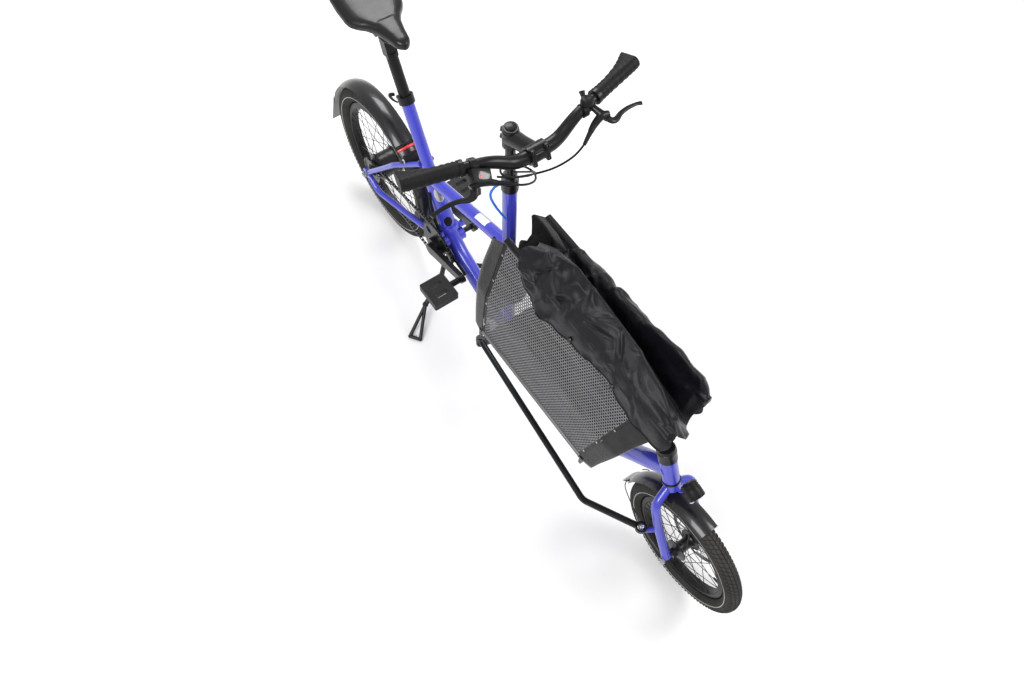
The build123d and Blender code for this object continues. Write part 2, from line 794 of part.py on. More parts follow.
with BuildPart() as front_hub:
    half = front_hub_width / 2
    with BuildSketch(wheel_plane(front_centre)) as front_hub_section:
        with BuildLine():
            Polyline(
                (-half, axle_r + running_gap),
                (-half, 12),
                (-front_flange_y - 2, 26),
                (-front_flange_y - 2, front_flange_r),
                (-front_flange_y + 2, front_flange_r),
                (-front_flange_y + 2, 28),
                (front_flange_y - 2, 28),
                (front_flange_y - 2, front_flange_r),
                (front_flange_y + 2, front_flange_r),
                (front_flange_y + 2, 26),
                (half, 12),
                (half, axle_r + running_gap),
                close=True,
            )
        make_face()
        with Locations((rotor_y, (rotor_r + 12) / 2)):
            Rectangle(rotor_thickness, rotor_r - 12)
    revolve(front_hub_section.sketch, axis=Axis(front_centre, across))
write(front_hub, "front_hub")

# Centre stand, parked on both feet
with BuildPart() as centre_stand:
    for side in (1, -1):
        sleeve_in = spot(stand_x, side * (stand_leg_r + 6.3), stand_z)
        sleeve_out = spot(stand_x, side * 33, stand_z)
        knee = spot(stand_knee[0], side * stand_knee[1], stand_knee[2])
        parting = spot(stand_fork[0], side * stand_fork[1], stand_fork[2])
        outer_foot = spot(stand_foot_outer[0], side * stand_foot_outer[1], stand_corner_r)
        inner_foot = spot(stand_foot_inner[0], side * stand_foot_inner[1], stand_corner_r)
        add_rod(sleeve_in, sleeve_out, 11)
        add_tube([sleeve_out - Vector(0, side * 7, 0), knee, parting], stand_leg_r, 25)
        for start, end in ((parting, outer_foot), (outer_foot, inner_foot), (inner_foot, parting)):
            add_rod(start, end, stand_foot_r)
        with Locations(outer_foot, inner_foot):
            Sphere(stand_corner_r)
        with Locations(parting):
            Sphere(stand_leg_r + 1.5)
    yoke = between(sleeve_out, knee, 0.3)
    add_rod(Vector(yoke.X, -abs(yoke.Y), yoke.Z), Vector(yoke.X, abs(yoke.Y), yoke.Z), 6)
    add_cross_rod(stand_x, stand_z, stand_pin_r + running_gap, -50, 50, Mode.SUBTRACT)
write(centre_stand, "centre_stand")

# Basket sides, folded inwards
for side, name in ((1, "left_side"), (-1, "right_side")):
    with BuildPart() as basket_side:
        with BuildSketch(Plane.YZ.offset(rear_x + panel_high_x[0] - 20)) as profile:
            with Locations((side * (panel_top[0] - 2), panel_top[1] + 5)):
                Circle(top_rail_r)
        extrude(profile.sketch, amount=panel_high_x[1] - panel_high_x[0] + 40)
        openings = []
        for low, high in (((hinge_y, hinge_z), panel_bend), (panel_bend, panel_top)):
            run = Vector(0, side * (high[0] - low[0]), high[1] - low[1])
            middle_y = side * (low[0] + high[0]) / 2
            middle_z = (low[1] + high[1]) / 2
            lean = math.degrees(math.atan2(-run.Y, run.Z))
            middle_x = rear_x + (panel_high_x[0] + panel_high_x[1]) / 2
            with Locations(Pos(middle_x, middle_y, middle_z) * Rot(lean, 0, 0)):
                Box(panel_high_x[1] - panel_high_x[0] + 40, panel_thickness, run.length + 1)
            share = (middle_z - hinge_z) / (panel_top[1] + 30 - hinge_z)
            rear_edge = panel_low_x[0] + (panel_high_x[0] - panel_low_x[0]) * share
            front_edge = panel_low_x[1] + (panel_high_x[1] - panel_low_x[1]) * share
            grid_middle = Pos(rear_x + (rear_edge + front_edge) / 2, middle_y, middle_z)
            column_step = (front_edge - rear_edge - 3 * opening_length) / (openings_across - 1)
            row_step = (run.length - 10) / openings_up
            columns = [(n - (openings_across - 1) / 2) * column_step for n in range(openings_across)]
            rows = [(n - (openings_up - 1) / 2) * row_step for n in range(openings_up)]
            openings += [grid_middle * Rot(lean, 0, 0) * Pos(x, 0, z) for x in columns for z in rows]
        with BuildSketch(Plane.XZ) as side_outline:
            with BuildLine():
                Polyline(
                    (rear_x + panel_low_x[0], hinge_z - 20),
                    (rear_x + panel_low_x[1], hinge_z - 20),
                    (rear_x + panel_low_x[1], hinge_z),
                    (rear_x + panel_high_x[1], panel_top[1] + 30),
                    (rear_x + panel_high_x[0], panel_top[1] + 30),
                    (rear_x + panel_low_x[0], hinge_z),
                    close=True,
                )
            make_face()
        extrude(side_outline.sketch, amount=300, both=True, mode=Mode.INTERSECT)
        with Locations(*openings):
            Box(opening_length, 6 * panel_thickness, opening_height, mode=Mode.SUBTRACT)
        bead_start = spot(panel_low_x[0], side * hinge_y, hinge_z)
        bead_end = spot(panel_low_x[1], side * hinge_y, hinge_z)
        add_rod(bead_start, bead_end, hinge_bead_r)
        add_rod(
            bead_start - Vector(10, 0, 0),
            bead_end + Vector(10, 0, 0),
            hinge_pin_r + running_gap,
            Mode.SUBTRACT,
        )
    write(basket_side, name)

# Basket floor with its side rails, hinge pins and the two posts that carry it
rail_z = hinge_z - 24
with BuildPart() as basket_floor:
    low_start, low_end = panel_low_x
    for side in (1, -1):
        pin_start = spot(low_start - 14, side * hinge_y, hinge_z)
        pin_end = spot(low_end + 14, side * hinge_y, hinge_z)
        add_rod(pin_start, pin_end, hinge_pin_r)
        rail_start = spot(low_start - 14, side * floor_rail_y, rail_z)
        rail_end = spot(low_end + 14, side * floor_rail_y, rail_z)
        add_rod(rail_start, rail_end, floor_rail_r)
        for x in (low_start - 8, low_end + 8):
            with Locations(spot(x, side * (hinge_y + floor_rail_y) / 2, (hinge_z + rail_z) / 2)):
                Box(8, hinge_y - floor_rail_y + 10, hinge_z - rail_z + 10)
    with Locations(spot((low_start + low_end) / 2, 0, rail_z)):
        Box(low_end - low_start, 2 * floor_rail_y, floor_thickness)
    for x in (low_start + 60, low_end - 60):
        add_rod(spot(x, -floor_rail_y, rail_z), spot(x, floor_rail_y, rail_z), 8)
        add_rod(spot(x, 0, 200), spot(x, 0, rail_z), post_r)
    add(main_tube.part, mode=Mode.SUBTRACT)
    floor_pieces = basket_floor.solids().sort_by(SortBy.VOLUME)
with BuildPart() as basket_floor:
    add(floor_pieces[-1])
write(basket_floor, "basket_floor")

# Soft ends of the basket
end_places = [
    (-hinge_y - 4, hinge_z + 4),
    (-panel_bend[0] - 4, panel_bend[1]),
    (-panel_top[0] - 4, panel_top[1]),
    (panel_top[0] + 4, panel_top[1]),
    (panel_bend[0] + 4, panel_bend[1]),
    (hinge_y + 4, hinge_z + 4),
]
for name, low_x, high_x, outward in (
    ("rear_end_fabric", panel_low_x[0], panel_high_x[0], -1),
    ("front_end_fabric", panel_low_x[1], panel_high_x[1], 1),
):
    with BuildPart() as end_fabric:
        with BuildSketch(Plane.YZ.offset(rear_x + min(low_x, high_x) - 60)) as end_outline:
            with BuildLine():
                Polyline(*end_places, close=True)
            make_face()
        extrude(end_outline.sketch, amount=abs(high_x - low_x) + 120)
        gap = outward * 1
        with BuildSketch(Plane.XZ) as end_side:
            with BuildLine():
                Polyline(
                    (rear_x + low_x + gap, hinge_z - 10),
                    (rear_x + low_x + gap, hinge_z),
                    (rear_x + high_x + gap, panel_top[1] + 30),
                    (rear_x + high_x + gap + outward * end_thickness, panel_top[1] + 30),
                    (rear_x + low_x + gap + outward * end_thickness, hinge_z),
                    (rear_x + low_x + gap + outward * end_thickness, hinge_z - 10),
                    close=True,
                )
            make_face()
        extrude(end_side.sketch, amount=300, both=True, mode=Mode.INTERSECT)
        add(basket_floor.part, mode=Mode.SUBTRACT)
        add(column_socket.part, mode=Mode.SUBTRACT)
    write(end_fabric, name)

# Soft cover, draped over the folded basket: half width at the hem, hem height and crown height
cover_front = wheelbase - 134
cover_sections = (
    (664, 62, 742, 770),
    (712, 78, 742, 776),
    (800, 84, 735, 784),
    (900, 95, 706, 792),
    (cover_front - 262, 99, 690, 800),
    (cover_front - 122, 99, 684, 806),
    (cover_front - 37, 92, 640, 800),
    (cover_front, 62, 640, 752),
)
rail_top = panel_top[1] + 5 + top_rail_r
hollow_start, hollow_end = panel_high_x[0] - end_thickness - 2, panel_high_x[1] + end_thickness + 2
with BuildPart() as basket_cover:
    for x, half, low, high in cover_sections:
        shoulder = (low + 2 * high) / 3
        with BuildSketch(Plane.YZ.offset(rear_x + x)) as cover_section:
            with BuildLine():
                Polyline(
                    (-half, low),
                    (-half * 0.94, shoulder),
                    (-half * 0.55, high),
                    (half * 0.55, high),
                    (half * 0.94, shoulder),
                    (half, low),
                    close=True,
                )
            make_face()
    loft(ruled=True)
    with BuildSketch(Plane.YZ.offset(rear_x + hollow_start)) as hollow:
        with BuildLine():
            Polyline(
                (-hinge_y, panel_bend[1] - 60),
                (-panel_bend[0] - 3, panel_bend[1]),
                (-panel_top[0] - top_rail_r, panel_top[1] - 8),
                (-panel_top[0] - top_rail_r, rail_top + 0.5),
                (panel_top[0] + top_rail_r, rail_top + 0.5),
                (panel_top[0] + top_rail_r, panel_top[1] - 8),
                (panel_bend[0] + 3, panel_bend[1]),
                (hinge_y, panel_bend[1] - 60),
                close=True,
            )
        make_face()
    extrude(hollow.sketch, amount=hollow_end - hollow_start, mode=Mode.SUBTRACT)
write(basket_cover, "basket_cover")
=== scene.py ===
"""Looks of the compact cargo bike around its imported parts, and the light it stands in."""

import math
import random

import bmesh
import bpy
import numpy as np
from mathutils import Matrix, Vector, noise


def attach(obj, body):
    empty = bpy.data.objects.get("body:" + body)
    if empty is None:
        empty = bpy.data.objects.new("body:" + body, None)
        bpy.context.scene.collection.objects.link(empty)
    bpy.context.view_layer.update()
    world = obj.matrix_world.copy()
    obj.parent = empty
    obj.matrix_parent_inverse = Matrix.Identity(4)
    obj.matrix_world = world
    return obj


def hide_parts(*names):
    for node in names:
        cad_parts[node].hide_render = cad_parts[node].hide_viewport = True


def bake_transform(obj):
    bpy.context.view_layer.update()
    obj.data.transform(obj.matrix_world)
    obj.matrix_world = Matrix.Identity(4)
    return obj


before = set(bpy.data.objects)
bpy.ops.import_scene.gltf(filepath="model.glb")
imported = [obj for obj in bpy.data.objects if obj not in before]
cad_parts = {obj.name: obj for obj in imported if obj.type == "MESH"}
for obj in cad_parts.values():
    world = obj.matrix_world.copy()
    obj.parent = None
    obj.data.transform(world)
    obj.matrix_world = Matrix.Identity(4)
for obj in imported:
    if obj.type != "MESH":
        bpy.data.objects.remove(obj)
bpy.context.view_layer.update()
REAR_X = -0.67325  # of the rear axle in the frame
X, Y, Z = Vector((1, 0, 0)), Vector((0, 1, 0)), Vector((0, 0, 1))


# Places and meshes
def at(x, y, z):
    """Millimetres from the ground under the rear axle, as a place in the row frame."""
    return Vector((x / 1000 + REAR_X, y / 1000, z / 1000))


def mesh_piece(name, verts, faces, material, smooth=True):
    mesh = bpy.data.meshes.new(name)
    mesh.from_pydata([tuple(v) for v in verts], [], [tuple(f) for f in faces])
    mesh.validate()
    mesh.update()
    if smooth:
        mesh.shade_smooth()
    piece = bpy.data.objects.new(name, mesh)
    bpy.context.scene.collection.objects.link(piece)
    mesh.materials.append(material)
    return piece


def joined(name, pieces):
    """Several pieces as one mesh."""
    bpy.ops.object.select_all(action="DESELECT")
    for piece in pieces:
        piece.select_set(True)
    bpy.context.view_layer.objects.active = pieces[0]
    bpy.ops.object.join()
    pieces[0].name = name
    return pieces[0]


def mounted(piece, body, node=None):
    """The piece on its body, in place of a node if it has one."""
    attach(piece, body)
    if node:
        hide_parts(node)
    return piece


def net(rows, columns, around=True, closed=False):
    """Faces between rows of points; around joins a row's ends, closed joins the last row to the first."""
    faces = []
    for i in range(rows if closed else rows - 1):
        j = (i + 1) % rows
        for k in range(columns if around else columns - 1):
            n = (k + 1) % columns
            faces.append((i * columns + k, i * columns + n, j * columns + n, j * columns + k))
    return faces


def end_faces(rows, columns):
    return [tuple(range(columns))[::-1], tuple((rows - 1) * columns + k for k in range(columns))]


def polar(centre, radius, angle, y=0):
    """A place round an axle, in millimetres from its middle."""
    return centre + Vector((radius * math.cos(angle), y, radius * math.sin(angle))) / 1000


def thicken(piece, thickness):
    piece.modifiers.new("thickness", "SOLIDIFY").thickness = thickness
    return piece


def sharpen(piece, angle=40):
    piece.data.set_sharp_from_angle(angle=math.radians(angle))
    return piece


def bevelled(piece, width):
    """The piece with its corners rounded."""
    b = bmesh.new()
    b.from_mesh(piece.data)
    edges = [e for e in b.edges if len(e.link_faces) == 2 and e.calc_face_angle(0) > 0.6]
    rounding = {"segments": 2, "profile": 0.6, "affect": "EDGES", "clamp_overlap": True}
    bmesh.ops.bevel(b, geom=edges, offset=width, **rounding)
    b.to_mesh(piece.data)
    b.free()
    piece.data.shade_smooth()
    return sharpen(piece, 50)


def smooth_line(places, per_run=8):
    """A curve through the places, as close points."""
    p = [Vector(q) for q in places]
    full = [p[0] * 2 - p[1]] + p + [p[-1] * 2 - p[-2]]
    out = []
    for a, b, c, d in zip(full, full[1:], full[2:], full[3:]):
        for k in range(per_run):
            t = k / per_run
            bend = (2 * a - 5 * b + 4 * c - d) * t * t + (3 * b - a - 3 * c + d) * t**3
            out.append(0.5 * ((2 * b) + (c - a) * t + bend))
    out.append(p[-1])
    return out


def line_length(line):
    return sum((b - a).length for a, b in zip(line, line[1:]))


def sweep(name, line, radii, material, sides=16, flat=(1, 1), up=Z):
    """A tube along a line of points; radii is one number or one for each point."""
    count = len(line)
    radii = [radii] * count if not hasattr(radii, "__len__") else radii
    if len(radii) != count:
        radii = np.interp(np.linspace(0, 1, count), np.linspace(0, 1, len(radii)), radii)
    tangents = [(line[min(i + 1, count - 1)] - line[max(i - 1, 0)]).normalized() for i in range(count)]
    side = tangents[0].cross(up)
    if side.length < 1e-4:
        side = tangents[0].cross(X)
    side.normalize()
    verts = []
    for i, (place, along) in enumerate(zip(line, tangents)):
        side = (side - along * side.dot(along)).normalized()
        other = along.cross(side)
        for k in range(sides):
            a = 2 * math.pi * k / sides
            reach = side * math.cos(a) * flat[0] + other * math.sin(a) * flat[1]
            verts.append(place + reach * float(radii[i]))
    return sharpen(mesh_piece(name, verts, net(count, sides) + end_faces(count, sides), material))


def lathe(name, centre, axis, profile, material, sides=48, closed=False):
    """A turned piece: profile is (distance along the axis, radius) in millimetres."""
    axis = Vector(axis).normalized()
    u = axis.orthogonal().normalized()
    w = axis.cross(u)
    verts = []
    for along, radius in profile:
        radius = max(radius, 0.02)
        for k in range(sides):
            a = 2 * math.pi * k / sides
            verts.append(centre + (axis * along + (u * math.cos(a) + w * math.sin(a)) * radius) / 1000)
    rows = len(profile)
    faces = net(rows, sides, closed=closed) + ([] if closed else end_faces(rows, sides))
    return sharpen(mesh_piece(name, verts, faces, material), 35)


def block(name, centre, size, material, bevel=1.5, turn=None):
    """A box with rounded corners, its size in millimetres."""
    b = bmesh.new()
    bmesh.ops.create_cube(b, size=1)
    mesh = bpy.data.meshes.new(name)
    for v in b.verts:
        v.co = Vector((v.co.x * size[0], v.co.y * size[1], v.co.z * size[2])) / 1000
    b.to_mesh(mesh)
    b.free()
    piece = bpy.data.objects.new(name, mesh)
    bpy.context.scene.collection.objects.link(piece)
    mesh.materials.append(material)
    bevelled(piece, bevel / 1000)
    mesh.transform(Matrix.Translation(centre) @ (turn.to_4x4() if turn else Matrix.Identity(4)))
    return piece


def bolt(place, axis, head, material):
    """A cap screw's head, of a radius in millimetres, with its socket."""
    rim = [(-2, head * 0.95), (head * 0.75, head), (head, head * 0.8)]
    return lathe("bolt", place, axis, rim + [(head, head * 0.5), (head * 0.4, head * 0.48)], material, 14)


def frame_to(along, up=Z):
    """A turn that takes X to a direction, keeping Z near up."""
    x = Vector(along).normalized()
    y = Vector(up).cross(x).normalized()
    return Matrix((x, y, x.cross(y))).transposed()


# Materials
def material_base(name, roughness, metallic=0.0, coat=0.0, sheen=0.0, shine=0.5):
    material = bpy.data.materials.new(name)
    material.use_nodes = True
    shader = material.node_tree.nodes["Principled BSDF"]
    shader.inputs["Specular IOR Level"].default_value = shine
    shader.inputs["Roughness"].default_value = roughness
    shader.inputs["Metallic"].default_value = metallic
    shader.inputs["Coat Weight"].default_value = coat
    shader.inputs["Coat Roughness"].default_value = 0.06
    shader.inputs["Sheen Weight"].default_value = sheen
    return material, material.node_tree, shader


def add_texture(tree, kind, scale, stretch=(1, 1, 1), **values):
    """A procedural texture in the piece's own coordinates."""
    place = tree.nodes.new("ShaderNodeTexCoord")
    mapping = tree.nodes.new("ShaderNodeMapping")
    mapping.inputs["Scale"].default_value = stretch
    texture = tree.nodes.new(kind)
    texture.inputs["Scale"].default_value = scale
    for key, value in values.items():
        texture.inputs[key.replace("_", " ")].default_value = value
    tree.links.new(place.outputs["Object"], mapping.inputs["Vector"])
    tree.links.new(mapping.outputs["Vector"], texture.inputs["Vector"])
    return texture


def add_bump(tree, shader, height, strength, distance, after=None):
    bump = tree.nodes.new("ShaderNodeBump")
    bump.inputs["Strength"].default_value = strength
    bump.inputs["Distance"].default_value = distance
    tree.links.new(height, bump.inputs["Height"])
    if after:
        tree.links.new(after.outputs["Normal"], bump.inputs["Normal"])
    tree.links.new(bump.outputs["Normal"], shader.inputs["Normal"])
    return bump


def vary(tree, shader, source, socket, low, high):
    """The texture's light and dark as a range of a shader value or of colours."""
    if socket == "Base Color":
        ramp = tree.nodes.new("ShaderNodeValToRGB")
        ramp.color_ramp.elements[0].color = (*low, 1)
        ramp.color_ramp.elements[1].color = (*high, 1)
        ramp.color_ramp.elements[0].position = 0.3
        ramp.color_ramp.elements[1].position = 0.7
        tree.links.new(source, ramp.inputs["Fac"])
        tree.links.new(ramp.outputs["Color"], shader.inputs[socket])
        return
    spread = tree.nodes.new("ShaderNodeMapRange")
    spread.inputs["To Min"].default_value = low
    spread.inputs["To Max"].default_value = high
    tree.links.new(source, spread.inputs["Value"])
    tree.links.new(spread.outputs["Result"], shader.inputs[socket])


def coated(name, dark, light, roughness, coat=0.0, grain=900, bump=0.05, shine=0.5):
    """Paint, powder coat or moulded plastic: slight changes of tone, of polish and a fine grain."""
    material, tree, shader = material_base(name, roughness, 0.0, coat, 0.0, shine)
    tone = add_texture(tree, "ShaderNodeTexNoise", 14, Detail=5.0)
    vary(tree, shader, tone.outputs["Fac"], "Base Color", dark, light)
    polish = add_texture(tree, "ShaderNodeTexNoise", 60, Detail=6.0)
    vary(tree, shader, polish.outputs["Fac"], "Roughness", roughness * 0.8, min(1, roughness * 1.2))
    fine = add_texture(tree, "ShaderNodeTexNoise", grain, Detail=2.0)
    add_bump(tree, shader, fine.outputs["Fac"], bump, 0.0004)
    return material


def brushed(name, dark, light, roughness, stretch):
    """Drawn or rolled metal with fine lines along one direction."""
    material, tree, shader = material_base(name, roughness, 1.0)
    lines = add_texture(tree, "ShaderNodeTexNoise", 120, stretch, Detail=4.0)
    vary(tree, shader, lines.outputs["Fac"], "Base Color", dark, light)
    vary(tree, shader, lines.outputs["Fac"], "Roughness", roughness * 0.8, roughness * 1.3)
    add_bump(tree, shader, lines.outputs["Fac"], 0.08, 0.0003)
    return material


def woven(name, dark, light, roughness, threads, sheen, crease, coat=0.0):
    """Cloth with threads both ways and small creases."""
    material, tree, shader = material_base(name, roughness, 0.0, coat, sheen, 0.25)
    shader.inputs["Sheen Roughness"].default_value = 0.4
    tone = add_texture(tree, "ShaderNodeTexNoise", 30, Detail=6.0)
    vary(tree, shader, tone.outputs["Fac"], "Base Color", dark, light)
    warp = add_texture(tree, "ShaderNodeTexWave", threads, (1, 0.2, 0.2), Distortion=0.6)
    weft = add_texture(tree, "ShaderNodeTexWave", threads, (0.2, 1, 1), Distortion=0.6)
    weft.bands_direction = "Z"
    both = tree.nodes.new("ShaderNodeMath")
    both.operation = "ADD"
    tree.links.new(warp.outputs["Fac"], both.inputs[0])
    tree.links.new(weft.outputs["Fac"], both.inputs[1])
    first = add_bump(tree, shader, both.outputs["Value"], 0.25, 0.0003)
    folds = add_texture(tree, "ShaderNodeTexNoise", crease, Detail=5.0, Distortion=0.8)
    add_bump(tree, shader, folds.outputs["Fac"], 0.35, 0.004, first)
    return material


DARK, SOFT_DARK = (0.004, 0.004, 0.005), (0.009, 0.009, 0.010)
BLUE = coated("blue_paint", (0.036, 0.040, 0.42), (0.044, 0.050, 0.49), 0.30, coat=0.6, grain=500, bump=0.03)
BLACK = coated("black_paint", DARK, (0.008, 0.008, 0.009), 0.30, coat=0.06, bump=0.06, shine=0.25)
PLASTIC = coated("black_plastic", DARK, SOFT_DARK, 0.42, bump=0.15, shine=0.18)
FENDER = coated(
    "fender_plastic", (0.004, 0.004, 0.006), (0.007, 0.007, 0.009), 0.30, coat=0.35, bump=0.04, shine=0.4
)
RUBBER = coated(
    "tyre_rubber", (0.022, 0.021, 0.020), (0.040, 0.039, 0.037), 0.8, grain=600, bump=0.3, shine=0.12
)
TREAD = coated(
    "tyre_tread", (0.034, 0.033, 0.031), (0.058, 0.056, 0.053), 0.85, grain=500, bump=0.3, shine=0.12
)
GRIP = coated("grip_rubber", DARK, SOFT_DARK, 0.5, grain=1500, bump=0.5, shine=0.18)
SADDLE = coated("saddle_skin", DARK, (0.008, 0.008, 0.009), 0.34, grain=1100, bump=0.2, coat=0.15, shine=0.3)
RIM = coated("rim_black", (0.005, 0.005, 0.006), SOFT_DARK, 0.38, bump=0.05, shine=0.25)
HUB = coated("hub_black", (0.005, 0.005, 0.006), (0.010, 0.010, 0.011), 0.30, bump=0.08, shine=0.4)
SPOKE = coated("black_spoke", (0.008, 0.008, 0.009), (0.018, 0.018, 0.020), 0.35, shine=0.35)
STEEL = brushed("bright_steel", (0.45, 0.45, 0.46), (0.68, 0.68, 0.69), 0.28, (1, 1, 1))
CHAIN = brushed("chain_steel", (0.03, 0.03, 0.03), (0.08, 0.08, 0.08), 0.36, (1, 1, 1))
PANEL = brushed("panel_metal", (0.15, 0.15, 0.155), (0.24, 0.24, 0.245), 0.42, (0.1, 1, 1))
# Painted shade: a darker copy of the panel metal, put on the sheet's inner face and hole walls
PANEL_PAINTED_SHADE = coated("panel_painted_shade", (0.010, 0.010, 0.011), (0.020, 0.020, 0.021), 0.6, shine=0.2)
CANVAS = woven("end_canvas", (0.012, 0.012, 0.012), (0.022, 0.022, 0.022), 0.85, 420, 0.25, 20)
NYLON = woven("cover_nylon", (0.002, 0.002, 0.004), (0.005, 0.005, 0.007), 0.36, 700, 0.03, 30, coat=0.05)
LENS_DARK = coated("dark_window", (0.010, 0.010, 0.012), (0.016, 0.016, 0.018), 0.15, coat=0.4)
RED = coated("red_lens", (0.62, 0.02, 0.03), (0.78, 0.04, 0.05), 0.3, coat=0.3)
LENS = coated("clear_lens", (0.55, 0.57, 0.60), (0.75, 0.77, 0.80), 0.12, coat=1.0)
STRIPE = coated("pale_stripe", (0.36, 0.36, 0.35), (0.50, 0.50, 0.49), 0.5)
WHITE = coated("white_label", (0.70, 0.70, 0.69), (0.80, 0.80, 0.79), 0.4)
HOSE_BLUE = coated("blue_hose", (0.01, 0.12, 0.62), (0.02, 0.18, 0.75), 0.35)

NODE_MATERIAL = {
    BLUE: "main_tube column_socket upper_tube rear_stays fork",
    BLACK: "seat_clamp seat_post basket_floor crankset steering_column stem handlebar brake_levers"
    " steering_lever steering_rod centre_stand",
    PLASTIC: "ring_lock shifter bell headlamp left_pedal right_pedal",
    FENDER: "rear_fender front_fender",
    RUBBER: "rear_tyre front_tyre",
    RIM: "rear_rim front_rim",
    SPOKE: "rear_spokes front_spokes",
    HUB: "rear_hub front_hub",
    CHAIN: "chain",
    GRIP: "grips",
    SADDLE: "saddle",
    PANEL: "left_side right_side",
    CANVAS: "rear_end_fabric front_end_fabric",
    NYLON: "basket_cover",
}
for material, names in NODE_MATERIAL.items():
    for name in names.split():
        for material_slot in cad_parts[name].material_slots:
            material_slot.material = material


# Wheels
def tyre(name, node, body, centre, outer, tube, bead, blocks):
    """A carcass with rows of tread blocks and a pale line on each wall."""
    middle = outer - tube
    wrap = math.acos((bead - middle) / tube)
    angles = np.linspace(-wrap, wrap, 27)
    carcass = [((tube - 2.2) * math.sin(a), middle + (tube - 2.2) * math.cos(a)) for a in angles]
    inner = [((tube - 5) * math.sin(a), middle + (tube - 5) * math.cos(a)) for a in angles[::-1]]
    body_piece = lathe(name, centre, Y, carcass + inner, RUBBER, 120, closed=True)
    verts, faces = [], []
    # Each row's lean from the top and half its width, as angles round the carcass
    rows = ((-0.93, 0.10), (-0.62, 0.17), (-0.22, 0.17), (0.22, 0.17), (0.62, 0.17), (0.93, 0.10))
    for row, (lean, half_w) in enumerate(rows):
        for k in range(blocks):
            turn = 2 * math.pi * (k + 0.5 * (row % 2)) / blocks
            half_a = math.pi / blocks * (0.88 if abs(lean) < 0.8 else 0.5)
            slant = 0.45 * half_a * (1 if lean > 0 else -1)
            base = len(verts)
            for height, shrink in ((-2.4, 1.0), (-0.05, 0.93)):
                for dw, da in ((-1, -1), (1, -1), (1, 1), (-1, 1)):
                    w = lean + dw * half_w * shrink
                    a = turn + da * half_a * shrink + slant * dw
                    reach = tube + height
                    verts.append(polar(centre, middle + reach * math.cos(w), a, reach * math.sin(w)))
            shell = ((4, 5, 6, 7), (0, 1, 5, 4), (1, 2, 6, 5), (2, 3, 7, 6), (3, 0, 4, 7))
            faces += [tuple(base + n for n in face) for face in shell]
    tread = mesh_piece(name + "_tread", verts, faces, TREAD, smooth=False)
    mounted(joined(name, [body_piece, tread]), body, node)
    stripes = []
    wall, half = 1.72, 0.035
    outline = [(1.9, -half), (1.9, -0.015), (1.9, 0.015), (1.9, half), (2.6, half), (2.6, -half)]
    for side in (-1, 1):
        ring = [
            (side * (tube - sunk) * math.sin(wall + d), middle + (tube - sunk) * math.cos(wall + d))
            for sunk, d in outline
        ]
        stripes.append(lathe("stripe", centre, Y, ring, STRIPE, 120, closed=True))
    mounted(joined(name + "_stripes", stripes), body)


def nipples(name, body, centre, rim_inner, pairs):
    """A small nut on every spoke at the rim, and the valve."""
    step = 2 * math.pi / pairs
    parts = []
    nut = [(0, 1.3), (9, 1.6), (11.5, 2.1)]
    for side, turn in ((1, 0), (-1, step / 4)):
        for number in range(pairs):
            for lean in (1, -1):
                a = number * step + turn + lean * step / 8
                out = Vector((math.cos(a), 0, math.sin(a)))
                place = centre + out * (rim_inner - 11) / 1000 + Y * side * 0.0045
                parts.append(lathe("nipple", place, out + Y * side * -0.04, nut, SPOKE, 8))
    valve_turn = 0.21
    out = Vector((math.cos(valve_turn), 0, math.sin(valve_turn)))
    valve = [(0, 4.2), (6, 4.0), (8, 3.1), (26, 3.1), (30, 2.2)]
    parts.append(lathe("valve", centre + out * (rim_inner + 2) / 1000, -out, valve, BLACK, 14))
    mounted(joined(name, parts), body)


REAR_C, FRONT_C, CRANK_C = at(0, 0, 258), at(1456, 0, 202.5), at(372, 0, 300)
LINK, RING_TEETH, SPROCKET_TEETH, CHAIN_Y = 12.7, 38, 20, -52
tyre("rear_tyre_tread", "rear_tyre", "rear_wheel", REAR_C, 258, 27.5, 205, 116)
tyre("front_tyre_tread", "front_tyre", "front_wheel", FRONT_C, 202.5, 25, 156, 96)
nipples("rear_nipples", "rear_wheel", REAR_C, 187.7, 9)
nipples("front_nipples", "front_wheel", FRONT_C, 140.7, 8)


# Chain of outer and inner links
def pitch_radius(teeth):
    return LINK / (2 * math.sin(math.pi / teeth))


def loop_line(pitch_ring, pitch_sprocket):
    """Points along the chain at a fine step, round the sprocket and the ring."""
    a, b = REAR_C, CRANK_C
    d = math.hypot(b.x - a.x, b.z - a.z) * 1000
    base = math.atan2(b.z - a.z, b.x - a.x)
    lift = math.asin((pitch_ring - pitch_sprocket) / d)
    points = []
    for centre, radius, start, end in (
        (b, pitch_ring, base + math.pi / 2 + lift, base - math.pi / 2 - lift),
        (a, pitch_sprocket, base - math.pi / 2 - lift, base - 3 * math.pi / 2 + lift),
    ):
        for k in range(61):
            t = start + (end - start) * k / 60
            points.append(polar(centre, radius, t))
    return points + [points[0]]


